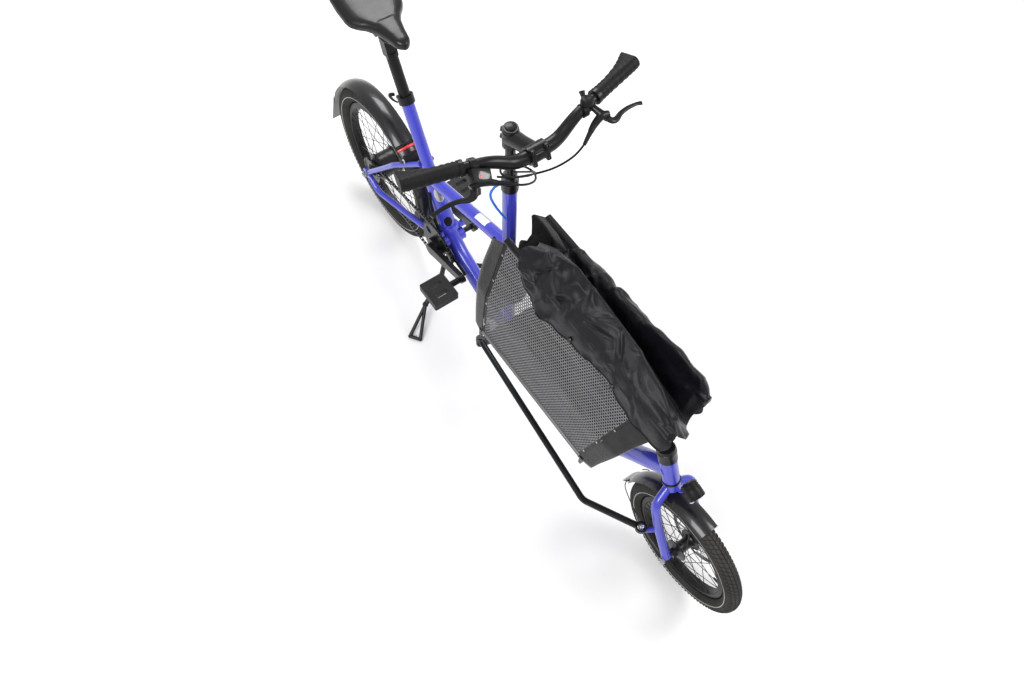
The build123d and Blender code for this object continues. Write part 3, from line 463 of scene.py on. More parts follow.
def chain_links():
    """Waisted plates, in turn outside and inside, on a roller at every pin."""
    line = loop_line(pitch_radius(RING_TEETH), pitch_radius(SPROCKET_TEETH))
    total = line_length(line)
    count = 2 * round(total / LINK * 1000 / 2)
    plate_r, half_plate, roller_r, half_roller = 0.0040, 0.0004, 0.0033, 0.0029
    middle = Y * CHAIN_Y / 1000
    run = np.cumsum([0] + [(b - a).length for a, b in zip(line, line[1:])])
    pins = []
    for k in range(count):
        s = total * k / count
        i = min(int(np.searchsorted(run, s, side="right")) - 1, len(line) - 2)
        pins.append(line[i].lerp(line[i + 1], (s - run[i]) / max(run[i + 1] - run[i], 1e-9)))
    verts, faces = [], []
    for k in range(count):
        a, b = pins[k], pins[(k + 1) % count]
        along = (b - a).normalized()
        cross = Vector((-along.z, 0, along.x))
        y = 0.0030 if k % 2 else 0.0022
        shape = []
        for end, sign in ((a, -1), (b, 1)):
            for t in (-70, -25, 25, 70):
                r = math.radians(t)
                shape.append(end + (along * math.cos(r) + cross * math.sin(r)) * sign * plate_r)
        for side in (-1, 1):
            base = len(verts)
            for offset in (y - half_plate, y + half_plate):
                verts += [p + middle + Y * side * offset for p in shape]
            faces.append(tuple(base + n for n in range(8)))
            faces.append(tuple(base + 8 + n for n in range(8))[::-1])
            faces += [(base + n, base + (n + 1) % 8, base + 8 + (n + 1) % 8, base + 8 + n) for n in range(8)]
        base = len(verts)
        for n in range(8):
            t = math.pi * n / 4
            p = a + middle + (along * math.cos(t) + cross * math.sin(t)) * roller_r
            verts += [p - Y * half_roller, p + Y * half_roller]
        for n in range(8):
            n = 2 * n
            faces.append((base + n, base + n + 1, base + (n + 3) % 16, base + (n + 2) % 16))
    mounted(mesh_piece("chain_links", verts, faces, CHAIN, smooth=False), "frame", "chain")


def teeth(name, body, centre, count, material):
    """A ring of teeth at the chain's pitch."""
    pitch_r, thickness = pitch_radius(count), 1.8
    verts, faces = [], []
    for k in range(count):
        t = 2 * math.pi * k / count
        base = len(verts)
        for radius, half in ((pitch_r - 6, 0.30), (pitch_r - 2, 0.2), (pitch_r + 2.6, 0.07)):
            for side in (-1, 1):
                a = t + side * half * 2 * math.pi / count
                for y in (-1, 1):
                    verts.append(polar(centre, radius, a, y * thickness / 2 + CHAIN_Y))
        shell = (
            (0, 2, 6, 4), (4, 6, 10, 8), (1, 5, 7, 3), (5, 9, 11, 7),
            (0, 4, 5, 1), (4, 8, 9, 5), (2, 3, 7, 6), (6, 7, 11, 10), (8, 10, 11, 9),
        )
        faces += [tuple(base + n for n in face) for face in shell]
    mounted(mesh_piece(name, verts, faces, material, smooth=False), body)


chain_links()
teeth("chainring_teeth", "crankset", CRANK_C, RING_TEETH, BLACK)
teeth("sprocket_teeth", "rear_wheel", REAR_C, SPROCKET_TEETH, STEEL)


# Perforated basket sides
# A folded side's section as (y, z), and its reach along the bike at its foot and its top, in millimetres
LOW, BEND, TOP = (140, 418), (125, 570), (62, 745)
PANEL_LOW_X, PANEL_HIGH_X = (735, 1155), (710, 1245)
RAIL_Y, RAIL_Z, RAIL_LOW_X, RAIL_HIGH_X = 60, 750, 712, 1243
LOWER = math.dist(LOW, BEND)
SLOPE = LOWER + math.dist(BEND, TOP)


def panel_place(side, x, s, lift=0):
    """The place on a basket side at a distance up its slope, lifted outwards."""
    (a, b), run = ((LOW, BEND), s) if s < LOWER else ((BEND, TOP), s - LOWER)
    size = math.dist(a, b)
    dy, dz = (b[0] - a[0]) / size, (b[1] - a[1]) / size
    return at(x, side * (a[0] + dy * run + dz * lift), a[1] + dz * run - dy * lift)


def edge_x(s):
    """How far a side reaches to the rear and to the front at a distance up its slope."""
    height = TOP[1] - LOW[1]
    t = height * s / SLOPE / (height + 30)
    return tuple(low + (high - low) * t for low, high in zip(PANEL_LOW_X, PANEL_HIGH_X))


def perforated(side, pitch=8.0, hole=2.6, margin=9):
    """Six-sided cells with round holes, cut off at the side's outline, with painted shade on the sheet's inner
    face and on the hole walls.
    """
    row = pitch * math.sqrt(3) / 2
    corner = pitch / math.sqrt(3)
    half_sheet = 0.7
    first_x = PANEL_HIGH_X[0]

    def round_of(x, s, radius, count):
        steps = [2 * math.pi * n / count for n in range(count)]
        return [(x + radius * math.sin(a), s + radius * math.cos(a)) for a in steps]
    verts, faces, index = [], [], {}

    def vertex(x, s, level):
        s = min(max(s, 0), SLOPE)
        low, high = edge_x(s)
        x = min(max(x, low), high)
        key = (round(x, 2), round(s, 2), level)
        if key not in index:
            index[key] = len(verts)
            verts.append(panel_place(side, x, s, half_sheet * level))
        return index[key]

    for j in range(int(SLOPE / row) + 2):
        s = j * row
        low, high = edge_x(min(s, SLOPE))
        for i in range(int((high - low) / pitch) + 3):
            x = first_x + pitch * (i + 0.5 * (j % 2) + math.floor((low - first_x) / pitch))
            if x < low - pitch or x > high + pitch:
                continue
            six, twelve = round_of(x, s, corner, 6), round_of(x, s, hole, 12)
            holed = low + margin < x < high - margin and margin < s < SLOPE - margin
            for level in (-1, 1):
                outer = [vertex(*p, level) for p in six]
                if not holed:
                    ring = [v for n, v in enumerate(outer) if v != outer[n - 1]]
                    if len(set(ring)) >= 3:
                        faces.append(ring if level * side > 0 else ring[::-1])
                    continue
                inner = [vertex(*p, level) for p in twelve]
                for n in range(6):
                    a, b = outer[n], outer[(n + 1) % 6]
                    p, q, r = inner[2 * n], inner[2 * n + 1], inner[(2 * n + 2) % 12]
                    for face in ((a, p, q), (a, q, b), (b, q, r)):
                        faces.append(face if level * side < 0 else face[::-1])
            if holed:
                walls = [[vertex(*p, level) for level in (-1, 1)] for p in twelve]
                faces += [(*walls[n], *walls[(n + 1) % 12][::-1]) for n in range(12)]
    piece = mesh_piece("sheet", verts, faces, PANEL, smooth=False)
    piece.data.materials.append(PANEL_PAINTED_SHADE)
    # Outward faces keep the panel metal; the inner face, the hole walls and tiny slivers get the painted shade
    for polygon in piece.data.polygons:
        outside = polygon.normal.y * side > 0.25 and polygon.area > 2e-9 and len(polygon.vertices) != 4
        polygon.material_index = 0 if outside else 1
    return piece


def basket_side(side, node):
    """A perforated side with cloth bands on its two edges, a bead at its foot, a rail and rivets."""
    bead_r, rail_r, band = 0.0055, 0.009, (0.0055, 0.0014)

    def on_band(end, s, lift):
        return panel_place(side, edge_x(s)[end] + (4 if end == 0 else -4), s, lift)

    parts = [perforated(side)]
    for end in (0, 1):
        line = [on_band(end, s, 0) for s in np.linspace(0, SLOPE, 24)]
        parts.append(sweep("band", line, 1.0, CANVAS, 8, flat=band, up=Y))
    foot = [at(x, side * LOW[0], LOW[1]) for x in PANEL_LOW_X]
    parts.append(sweep("bead", foot, bead_r, PANEL, 20))
    mounted(joined(node + "_sheet", parts), node, node)
    top = [at(x, side * RAIL_Y, RAIL_Z) for x in (RAIL_LOW_X, RAIL_HIGH_X)]
    mounted(sweep(node + "_rail", top, rail_r, BLACK, 20), node, node)
    rivets = [
        lathe("rivet", on_band(end, s, 1.2), Y * side, [(-1, 3), (0.8, 3), (1.5, 2)], STEEL, 16)
        for s in (40, 130, 215, 300)
        for end in (0, 1)
    ]
    mounted(joined(node + "_rivets", rivets), node)


basket_side(1, "left_side")
basket_side(-1, "right_side")


def stations(table, x):
    """The values between a table's rows, whose first column is x."""
    columns = np.array(table, float).T
    return [float(np.interp(x, columns[0], column)) for column in columns[1:]]


# Soft ends, each in two halves that meet in the middle
# Share of the way inwards, how far it stands out and how far it spreads, in metres
END_PROFILE = (
    (0, 0, 0), (0.06, 0.050, 0), (0.10, 0.053, 0.004), (0.35, 0.030, 0), (0.7, 0.044, 0), (1, 0.028, 0),
)


def end_half(name, side, end):
    """Dark canvas that stands out past a basket side's edge and sags towards the bike's middle."""
    outward = -1 if end == 0 else 1
    rows, columns = 44, 40
    verts = []
    for j in range(rows):
        up = j / (rows - 1)
        s = SLOPE * (-0.035 + 1.02 * up)
        edge = panel_place(side, edge_x(s)[end], s, 2.0)
        for i in range(columns):
            t = (i / (columns - 1)) ** 1.5
            reach, wide = stations(END_PROFILE, t)
            reach *= 0.86 + 0.2 * up + 0.10 * math.sin(up * 7 + 2 * side) * t
            crease = 0.005 * noise.noise(Vector((t * 4, up * 5, 3 * end + side))) * min(1, 6 * t)
            sag = up**4 * (0.042 * min(1, t / 0.06) + 0.09 * min(1, 2 * max(0, t - 0.08)))
            y = side * ((1 - t) * abs(edge.y) - wide)
            verts.append(Vector((edge.x + outward * (reach + crease), y, edge.z - sag)))
    return thicken(mesh_piece(name, verts, net(rows, columns, around=False), CANVAS), 0.0018)


for end, node in ((0, "rear_end_fabric"), (1, "front_end_fabric")):
    for side, body in ((1, "left_side"), (-1, "right_side")):
        half = end_half(f"{node}_{body}", side, end)
        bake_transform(half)
        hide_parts(node)


# Soft cover, at stations along the bike in millimetres: the height of its middle, and for each half
# where its ridge or valley lies and the heights of that, of the crossing over the rail and of the hem
MIDDLE = (
    (760, 752), (822, 800), (900, 824), (1005, 808), (1110, 792), (1168, 770), (1242, 738), (1285, 716),
    (1328, 690),
)
RIGHT = (
    (760, 30, 766, 763, 738), (820, 20, 806, 768, 708), (890, 8, 828, 769, 687), (1005, 6, 812, 766, 706),
    (1110, 8, 803, 768, 724), (1215, 20, 790, 768, 694), (1285, 36, 766, 765, 698), (1328, 40, 720, 735, 712),
)
LEFT = (
    (772, 30, 742, 757, 738), (846, 28, 752, 764, 712), (938, 30, 742, 779, 690), (993, 30, 735, 766, 700),
    (1077, 28, 722, 781, 715), (1168, 22, 708, 800, 708), (1242, 18, 702, 792, 700), (1275, 16, 694, 758, 700),
    (1305, 16, 684, 708, 690),
)


def panel_y(z):
    """Half the width of the folded basket over its sides at a height."""
    return float(np.interp(z, (LOW[1], BEND[1], TOP[1]), (LOW[0], BEND[0], TOP[0])))


def cover_section(side, x, count):
    """The cover's line from the middle out to its hem, as (y, z) in millimetres."""
    (middle,) = stations(MIDDLE, x)
    inner_y, inner, over, hem = stations(LEFT if side > 0 else RIGHT, x)
    if side > 0:
        knee, bulge = (46, (inner + over) / 2 + 6), (79, over - 24)
    else:
        knee, bulge = (44, 0.45 * inner + 0.55 * over + 2), (77, over - 27)
    corners = [(0, middle), (inner_y, inner), knee, (62, over), bulge, (panel_y(hem) + 7, hem)]
    line = smooth_line([Vector((y, z, 0)) for y, z in corners], 12)
    run = np.cumsum([0] + [(b - a).length for a, b in zip(line, line[1:])])
    at_run = np.linspace(0, run[-1], count)
    return np.stack([np.interp(at_run, run, column) for column in np.array(line).T[:2]], 1)


def creases(side, xs, shares):
    """How far sharp folds of the nylon push it out or in, in millimetres."""
    rng = random.Random(31 + side)
    folds, cloth_width, bunched_to = 54, 180, 960
    push = np.zeros(xs.shape)
    across = shares * cloth_width
    for _ in range(folds):
        x, run = rng.uniform(790, 1310), rng.uniform(10, 185)
        dx, drun = rng.uniform(-75, 75), rng.uniform(-70, 70)
        boost = 1.5 if x < bunched_to else 1
        height, width = boost * rng.choice((-1, 1, 1)) * rng.uniform(2.5, 7.5), rng.uniform(9, 24)
        along = np.clip(((xs - x) * dx + (across - run) * drun) / (dx * dx + drun * drun), 0, 1)
        away = np.hypot(xs - x - along * dx, across - run - along * drun)
        fade = 1 - np.abs(along - 0.5)
        push += height * fade * np.maximum(0, 1 - away / width) ** 1.4
    return push


def cover_half(side, body):
    """Loose nylon from the middle out over a basket side's rail, with sharp folds, and its hem."""
    rows, columns = 190, 72
    clear_of_rail, clear_of_side = 11.5, 2.5
    rail = Vector((RAIL_Y, RAIL_Z))
    shares = np.tile(np.linspace(0, 1, columns), (rows, 1))
    along = np.tile(np.linspace(0, 1, rows)[:, None], (1, columns))
    start = 760 + (76 if side > 0 else 8) * np.minimum(1, shares * 1.6) + 8 * np.sin(shares * 9)
    end = 1322 - (22 if side > 0 else 0) - (16 if side > 0 else 4) * shares + 5 * np.sin(shares * 11 + side)
    xs = start + (end - start) * along
    push = creases(side, xs, shares) * np.minimum(1, shares * 6)
    push += 2.0 * np.sin(xs * 0.09 + 3 * shares * side) * shares**2
    verts = []
    for j in range(rows):
        sections = [cover_section(side, x, columns) for x in (xs[j, 0], xs[j, -1])]
        weight = np.minimum(1, np.linspace(0, 1, columns) * 1.6)[:, None]
        line = sections[0] * (1 - weight) + sections[1] * weight
        slope = np.gradient(line, axis=0)
        normal = np.stack([-slope[:, 1], slope[:, 0]], 1)
        normal /= np.linalg.norm(normal, axis=1)[:, None] + 1e-9
        line = line + normal * push[j][:, None]
        for i, (y, z) in enumerate(line):
            y = max(y, 0) if i else 0
            if z < TOP[1]:
                y = max(y, panel_y(z) + clear_of_side) if i > columns * 0.7 else y
            from_rail = Vector((y, z)) - rail
            if from_rail.length < clear_of_rail:
                y, z = rail + from_rail.normalized() * clear_of_rail
            verts.append(at(xs[j, i], side * y, z))
    faces = [ring[::-side] for ring in net(rows, columns, around=False)]
    hem = [verts[j * columns + columns - 1] for j in range(0, rows, 2)]
    sheet = thicken(mesh_piece("sheet", verts, faces, NYLON), 0.001)
    bpy.context.view_layer.objects.active = sheet
    bpy.ops.object.modifier_apply(modifier="thickness")
    piece = joined(f"cover_{body}", [sheet, sweep("hem", hem, 0.0019, NYLON, 8)])
    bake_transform(piece)
    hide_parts("basket_cover")
    snaps, snap = [], [(-2, 6), (1.5, 6), (2.6, 4.5), (2.6, 3), (1.6, 0)]
    for x in (992, 1141) if side < 0 else (1000, 1150):
        y, z = cover_section(side, x, 40)[36]
        snaps.append(lathe("snap", at(x, side * (y + 2), z), Vector((0, side, 0.45)), snap, CHAIN, 20))
    mounted(joined(f"cover_snaps_{body}", snaps), body)


cover_half(1, "left_side")
cover_half(-1, "right_side")


# Handlebar, grips and controls
CLAMP = (716, 0, 1033)
BAR = [CLAMP, (714, 55, 1035), (700, 130, 1068), (664, 294, 1080)]
BAR_RADII = ((0, 15.9), (42, 15.9), (100, 13.5), (150, 11.5), (290, 11.1))


def bar_line():
    left = [at(*p) for p in BAR]
    right = [Vector((p.x, -p.y, p.z)) for p in left[:0:-1]]
    return smooth_line(right + left, 10)


def handlebar():
    """A butted tube, thick in the stem's clamp."""
    line = bar_line()
    radii = [stations(BAR_RADII, abs(p.y) * 1000)[0] / 1000 for p in line]
    mounted(sweep("bar_tube", line, radii, BLACK, 24), "steering", "handlebar")


def grip(side):
    """A ringed grip that widens backwards into a palm rest."""
    grip_start, plain_r, end_r, widest = 0.168, 0.0165, 0.0155, 0.022
    line = [p for p in bar_line() if side * p.y > grip_start]
    line = sorted(line, key=lambda p: side * p.y)
    end = line[-1] + (line[-1] - line[-2]).normalized() * 0.004
    line = smooth_line([line[0], line[len(line) // 3], line[2 * len(line) // 3], end], 12)
    sides, verts = 28, []
    count = len(line)
    along = (line[-1] - line[0]).normalized()
    back = (-X - along * (-X).dot(along)).normalized()
    up = along.cross(back).normalized()
    up = up if up.z > 0 else -up
    for i, p in enumerate(line):
        t = i / (count - 1)
        wing = widest * max(0, (t - 0.35) / 0.65) ** 1.4
        r = plain_r + 0.0006 * math.sin(t * 60) if 0.04 < t < 0.97 else end_r
        for k in range(sides):
            a = 2 * math.pi * k / sides
            c, s = math.cos(a), math.sin(a)
            reach = r + (wing * max(0, c) ** 1.2)
            verts.append(p + back * c * reach + up * s * (r - wing * 0.25 * max(0, c)))
    faces = net(count, sides) + end_faces(count, sides)
    name = "left_grip" if side > 0 else "right_grip"
    mounted(sharpen(mesh_piece(name, verts, faces, GRIP), 50), "steering", "grips")
    collar = [line[0] - along * 0.006, line[0] + along * 0.004]
    mounted(sweep(name + "_collar", collar, 0.0178, BLACK, 24), "steering")


def stem_and_cap():
    """Two bars with four bolts round the bar, a stout arm, a pinched collar and a domed cap on the riser."""
    clamp, root = at(*CLAMP), at(627.5, 0, 995)
    along = (clamp - root).normalized()
    turn = frame_to(along)
    up = turn @ Z
    middle = [root, root.lerp(clamp, 0.5), clamp - along * 0.008]
    parts = [
        sweep("arm", middle, [0.0205, 0.0185, 0.0195], BLACK, 32, up=Y),
        sweep("collar", [at(628.6, 0, 970), at(626.6, 0, 1014)], 0.0195, BLACK, 36),
        sweep("cheek", [clamp - Y * 0.023, clamp + Y * 0.023], 0.0208, BLACK, 36),
    ]
    for y in (-0.0175, 0.0175):
        parts.append(block("plate", clamp + along * 0.017 + Y * y, (11, 10.5, 40), BLACK, 3, turn))
        for rise in (-0.0145, 0.0145):
            parts.append(bolt(clamp + along * 0.021 + Y * y + up * rise, along, 3.8, CHAIN))
    parts.append(block("bridge", clamp + along * 0.019, (6, 26, 15), BLACK, 2, turn))
    for z in (980, 1002):
        parts.append(block("ear", at(606, 0, z), (12, 20, 12), BLACK, 3))
        parts.append(bolt(at(606, -9, z), -Y, 3.4, CHAIN))
    mounted(joined("stem_body", parts), "steering", "stem")
    dome = [(-2, 18), (7, 18.5), (10, 17.5), (11.5, 14), (12.5, 13), (15.5, 12), (17, 6), (17.2, 0)]
    mounted(lathe("riser_cap", at(626.6, 0, 1012), Z - X * 0.045, dome, BLACK, 40), "steering")


def brake_lever(side):
    """A clamp ring, a slim cylinder with its rubber boot and a curved blade."""

    def run(*places):
        return [at(x, side * y, z) for x, y, z in places]

    body = smooth_line(run((733, 176, 1056), (731, 158, 1058), (737, 136, 1052), (745, 120, 1047)))
    curve = run(
        (735, 168, 1052), (746, 177, 1047), (746, 190, 1044), (738, 208, 1043), (733, 232, 1040),
        (732, 256, 1036), (735, 270, 1034),
    )
    blade_radii = [0.0075, 0.0068, 0.0058, 0.0046, 0.0042, 0.0036, 0.0042]
    cover = smooth_line(run((744, 122, 1047.5), (754, 104, 1043), (761, 92, 1040)))
    neck = run((697, 150, 1068), (712, 154, 1065), (727, 160, 1060))
    parts = [
        sweep("barrel", body, [0.0075, 0.0095, 0.008, 0.0065], BLACK, 20),
        sweep("ring", run((697, 141, 1068.5), (694.5, 154, 1070)), 0.0165, BLACK, 28),
        sweep("neck", neck, [0.008, 0.0075, 0.009], BLACK, 16),
        sweep("pivot", run((735, 170, 1044), (735, 170, 1062)), 0.006, BLACK, 16),
        sweep("blade", smooth_line(curve), blade_radii, BLACK, 14, flat=(1.2, 0.62)),
        sweep("boot", cover, [0.0058, 0.0048, 0.0038], GRIP, 16),
    ]
    name = "left_brake_lever" if side > 0 else "right_brake_lever"
    mounted(joined(name, parts), "steering", "brake_levers")


def bell():
    """A small dome on a clamp, with the thumb lever that strikes it."""
    seat = at(703, 130, 1067)
    dome = [(6, 6), (12, 14), (20, 14.5), (25, 12), (26.5, 7), (25.6, 5), (26.2, 0)]
    lever = smooth_line([at(700, 134, 1080), at(688, 139, 1087), at(676, 143, 1092)])
    parts = [
        lathe("bell_dome", at(703, 137, 1070), Vector((-0.1, 0.1, 1)), dome, PLASTIC, 40),
        sweep("ring", [seat - Y * 0.006, seat + Y * 0.006], 0.0155, PLASTIC, 28),
        sweep("lever", lever, [0.003, 0.0035, 0.005], PLASTIC, 12, flat=(1.4, 0.7)),
    ]
    mounted(joined("bell_parts", parts), "steering", "bell")


def shifter():
    """A flat box with a small window and a red mark, and a thumb lever."""
    turn = frame_to(Vector((-0.17, -0.90, 0.40)), Vector((0.45, -0.1, 0.9)))
    middle = at(726, -148, 1068)
    paddle = smooth_line([at(706, -160, 1066), at(694, -176, 1079), at(684, -189, 1085)])
    parts = [
        block("box", middle, (46, 30, 19), PLASTIC, 4, turn),
        block("window", middle + turn @ Vector((-0.004, 0, 0.0088)), (30, 18, 3), LENS_DARK, 1, turn),
        sweep("ring", [at(700, -140, 1067), at(698, -152, 1069)], 0.0165, PLASTIC, 28),
        sweep("paddle", paddle, [0.004, 0.004, 0.0065], PLASTIC, 12, flat=(1.5, 0.6)),
    ]
    mounted(joined("shifter_parts", parts), "steering", "shifter")
    mark = middle + turn @ Vector((0.004, 0.002, 0.0102))
    mounted(block("shifter_mark", mark, (5, 5, 1.6), RED, 0.5, turn), "steering")


def hose(name, diameter, material, body, lay, *places):
    """A free hose along chosen places, from one fitting to the next."""
    places = [at(*place) for place in places]
    curve = bpy.data.curves.new(name, "CURVE")
    curve.dimensions = "3D"
    curve.bevel_depth = diameter / 2
    curve.bevel_resolution = 3
    spline = curve.splines.new("NURBS")
    spline.points.add(len(places) - 1)
    for point, place in zip(spline.points, places):
        point.co = (*place, 1)
    spline.order_u = 3
    spline.use_endpoint_u = True
    curve.materials.append(material)
    piece = bpy.data.objects.new(name, curve)
    bpy.context.scene.collection.objects.link(piece)
    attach(piece, body)


handlebar()
grip(1)
grip(-1)
stem_and_cap()
brake_lever(1)
brake_lever(-1)
bell()
shifter()
hose(
    "left_brake_hose", 0.005, PLASTIC, "steering", "loose",
    (733, 150, 1056), (745, 120, 1047), (755, 104, 1043), (761, 92, 1040), (764, 66, 1022), (756, 24, 1005),
    (738, -18, 995), (716, -62, 990), (692, -72, 984), (664, -52, 966), (650, -26, 940),
)
hose(
    "right_brake_hose", 0.005, PLASTIC, "steering", "loose",
    (733, -150, 1056), (745, -120, 1047), (755, -104, 1043), (761, -92, 1040), (766, -70, 1026),
    (760, -40, 1004), (742, -14, 980), (712, 6, 956), (680, 10, 938), (652, 6, 922),
)
hose(
    "blue_brake_hose", 0.006, HOSE_BLUE, "frame", "loose",
    (643, -20, 868), (641, -42, 872), (640, -58, 858), (640, -60, 838), (645, -49, 801), (650, -34, 766),
    (652, -22, 738),
)
hose(
    "shift_cable", 0.0045, PLASTIC, "steering", "loose",
    (742, -118, 1062), (756, -92, 1056), (760, -52, 1036), (744, -18, 1006), (716, 0, 968), (682, 2, 930),
    (650, -4, 900),
)


# Saddle: at stations along the bike, half its width, the height of its top and its edge's drop, in millimetres
SADDLE_OUTLINE = (
    (-76, 34, 918, 16), (-66, 62, 925, 20), (-40, 77, 929, 24), (0, 80, 925, 26), (42, 80, 921, 26),
    (60, 76, 920, 26), (76, 65, 919, 26), (92, 50, 919, 26), (115, 37, 918, 25), (150, 27, 917, 24),
    (180, 21, 914, 21), (191, 14, 910, 17), (196, 5, 905, 12),
)


def saddle():
    """A padded shell, wide at the back, with a long nose and a shallow middle."""
    rows, sides = 60, 40
    rear_x, length, wide_part, hollow = -76, 273, 100, 5
    verts = []
    for j in range(rows):
        x = rear_x + length * j / (rows - 1)
        half, top, drop = stations(SADDLE_OUTLINE, x)
        for k in range(sides):
            a = 2 * math.pi * k / sides
            c, s = math.cos(a), math.sin(a)
            y = half * abs(c) ** 0.75 * (1 if c > 0 else -1)
            sag = hollow * (1 - abs(c)) ** 2 if s > 0 and x < wide_part else 0
            rise = drop * max(s, 0) ** 0.55 if s > 0 else -2 * abs(s)
            verts.append(at(x, y, top - drop + rise - sag - 4 * (abs(y) / 75) ** 2))
    faces = [face[::-1] for face in net(rows, sides) + end_faces(rows, sides)]
    piece = sharpen(mesh_piece("saddle_shell", verts, faces, SADDLE), 60)
    mounted(piece, "frame", "saddle")


saddle()


# Front end: lamp, headset, hub, brake, flap and nuts
RIBS = [(5 * k + d, r) for k in range(3) for d, r in ((-19, 20), (-16, 20), (-15.5, 21.5), (-14.5, 21.5))]
LAMP = [(-22, 12), (-20, 18)] + RIBS + [(-2, 22), (17, 22.5), (20, 22), (20, 19), (15, 18), (15, 0)]
CUP = [(-17, 23), (-16, 24), (6, 24), (8, 24.6), (14, 24.6), (15, 23.6), (24, 22.6), (28, 12), (29, 0)]
FRONT_HUB = [
    (-43, 6.2), (-43, 11), (-36, 12), (-30, 13), (-27, 19), (-25.6, 32), (-22.6, 32), (-21, 20),
    (-16, 17), (-6, 16.4), (6, 16.4), (16, 17), (21, 20), (22.6, 32), (25.6, 32), (27, 22), (34, 22),
    (34.5, 15), (43, 12), (43, 6.2),
]
DISC_Y, DISC = 37, [(36.1, 66), (36.1, 79.5), (37.9, 79.5), (37.9, 66)]


def lamp():
    """A ribbed barrel that looks down the road, with two small lights."""
    middle, along = at(1394, 0, 498), Vector((0.94, 0, -0.34)).normalized()
    mounted(lathe("lamp_shell", middle, along, LAMP, PLASTIC), "fork", "headlamp")
    seat = middle + along * 0.0148 - along.cross(Y) * 0.006
    bulb = [(0, 7), (6, 7), (9, 5.5), (11, 3), (11.5, 0)]
    lights = [lathe("light", seat + Y * y, along, bulb, LENS, 24) for y in (-0.014, 0.002)]
    mounted(joined("lamp_lights", lights), "fork")


def headset():
    """Black cups at the top and the foot of the front head tube."""
    top, foot = at(1294, 0, 522), at(1335, 0, 437)
    up = (top - foot).normalized()
    cups = [
        lathe("cup", top, up, CUP, BLACK, 48),
        lathe("race", foot, up, [(-3, 22.4), (-2.4, 24), (2.4, 24), (3, 22.4)], BLACK, 48),
    ]
    mounted(joined("headset_cups", cups), "frame")


def front_hub():
    """A slim hub shell between two flanges, its brake disc with six arms and a two-part caliper."""
    mounted(lathe("front_hub_shell", FRONT_C, Y, FRONT_HUB, HUB, 56), "front_wheel", "front_hub")
    parts = [lathe("ring", FRONT_C, Y, DISC, STEEL, 90, closed=True)]
    for k in range(6):
        a = math.pi / 3 * k
        start, end = polar(FRONT_C, 19, a, DISC_Y), polar(FRONT_C, 68, a + 0.45, DISC_Y)
        parts.append(sweep("arm", [start, end], 0.004, STEEL, 8, flat=(0.22, 1), up=Y.cross(end - start)))
    mounted(joined("brake_disc", parts), "front_wheel", "front_hub")
    turn = frame_to(Vector((-0.56, 0, 0.83)))
    seat = FRONT_C + Vector((-0.040, 0, 0.060))
    halves = [block("half", seat + Y * y, (46, 11, 27), BLACK, 4, turn) for y in (0.0445, 0.0295)]
    halves.append(block("back", seat + Vector((-0.013, 0.037, 0.020)), (22, 24, 15), BLACK, 3, turn))
    mounted(joined("front_caliper", halves), "fork")


def front_flap():
    """A small flap behind the front fender, with the thin stays that steady it."""
    top = at(1240, 0, 232)
    verts = []
    for dx, dz, half in ((4, 8, 22), (-2, -6, 23), (-9, -22, 22), (-16, -42, 17)):
        verts += [top + Vector((dx, y * half, dz)) / 1000 for y in (-1, -0.4, 0.4, 1)]
    flap = mesh_piece("front_flap", verts, net(4, 4, around=False), FENDER)
    mounted(thicken(flap, 0.0022), "fork")
    stays = []
    for side in (-1, 1):
        places = ((1241, 27, 244), (1262, 44, 240), (1360, 62, 216), (1452, 67, 204))
        line = smooth_line([at(x, side * y, z) for x, y, z in places])
        stays.append(sweep("stay", line, 0.0014, BLACK, 8))
    mounted(joined("fender_stays", stays), "fork")


def nuts(name, body, centre, y, ball=None):
    """Bright nuts on an axle's two ends, and one on the rod's ball if it is there."""
    nut, ball_nut = [(-7, 10), (-1, 10), (0, 8.4), (5, 8.2), (7, 6.4), (8, 0)], [(5, 7), (11, 7), (12, 4.5)]
    parts = [lathe("nut", centre + Y * side * y / 1000, Y * side, nut, STEEL, 6) for side in (-1, 1)]
    if ball:
        parts.append(lathe("ball_nut", *ball, ball_nut + [(17, 4.5), (18, 0)], STEEL, 6))
    mounted(joined(name, parts), body)


lamp()
headset()
front_hub()
front_flap()
ROD_AXIS = Vector((-0.035, 0.049, 1)).normalized()
nuts("front_axle_nuts", "fork", FRONT_C, 77, (at(1370, -97, 312), ROD_AXIS))
nuts("rear_axle_nuts", "frame", REAR_C, 82)


# Rear end: lock, strip, seat clamp lever, and the frame's small plates
def from_rear_axle(angle):
    return Vector((math.cos(angle), 0, math.sin(angle)))


def ring_lock():
    """A horseshoe lock over the tyre, with a wider body on top and a bright keyhole."""
    out = from_rear_axle(math.atan2(179, 150))
    turn = Matrix((Y.cross(out), Y, out)).transposed()
    parts = [block("lock_body", REAR_C + out * 0.298, (30, 76, 22), PLASTIC, 6, turn)]
    for side in (-1, 1):
        bend = ((300, 30), (290, 36), (276, 37), (262, 35))
        line = [REAR_C + (out * r + Y * side * y) / 1000 for r, y in bend]
        parts.append(sweep("lock_arm", smooth_line(line), [0.007, 0.0065, 0.006, 0.004], PLASTIC, 16))
    mounted(joined("lock_horseshoe", parts), "frame", "ring_lock")
    keyhole = [(0, 8), (2.5, 8), (3, 6), (2, 5.5), (2, 0)]
    mounted(lathe("lock_keyhole", REAR_C + out * 0.299 - Y * 0.0375, -Y, keyhole, STEEL, 24), "frame")


def red_strip():
    """A narrow red reflector across the rear fender, and its holder."""
    out = from_rear_axle(math.radians(56.5))
    top_r, fall = 0.2755, 0.010
    line = [REAR_C + out * (top_r - fall * (y / 30) ** 2) + Y * y / 1000 for y in range(-31, 32, 2)]
    mounted(sweep("red_strip", line, 0.0045, RED, 12, flat=(1, 0.5), up=out), "frame")
    behind = [p - Y.cross(out) * 0.008 for p in line]
    mounted(sweep("strip_holder", behind, 0.0055, PLASTIC, 12, flat=(1, 0.5), up=out), "frame")


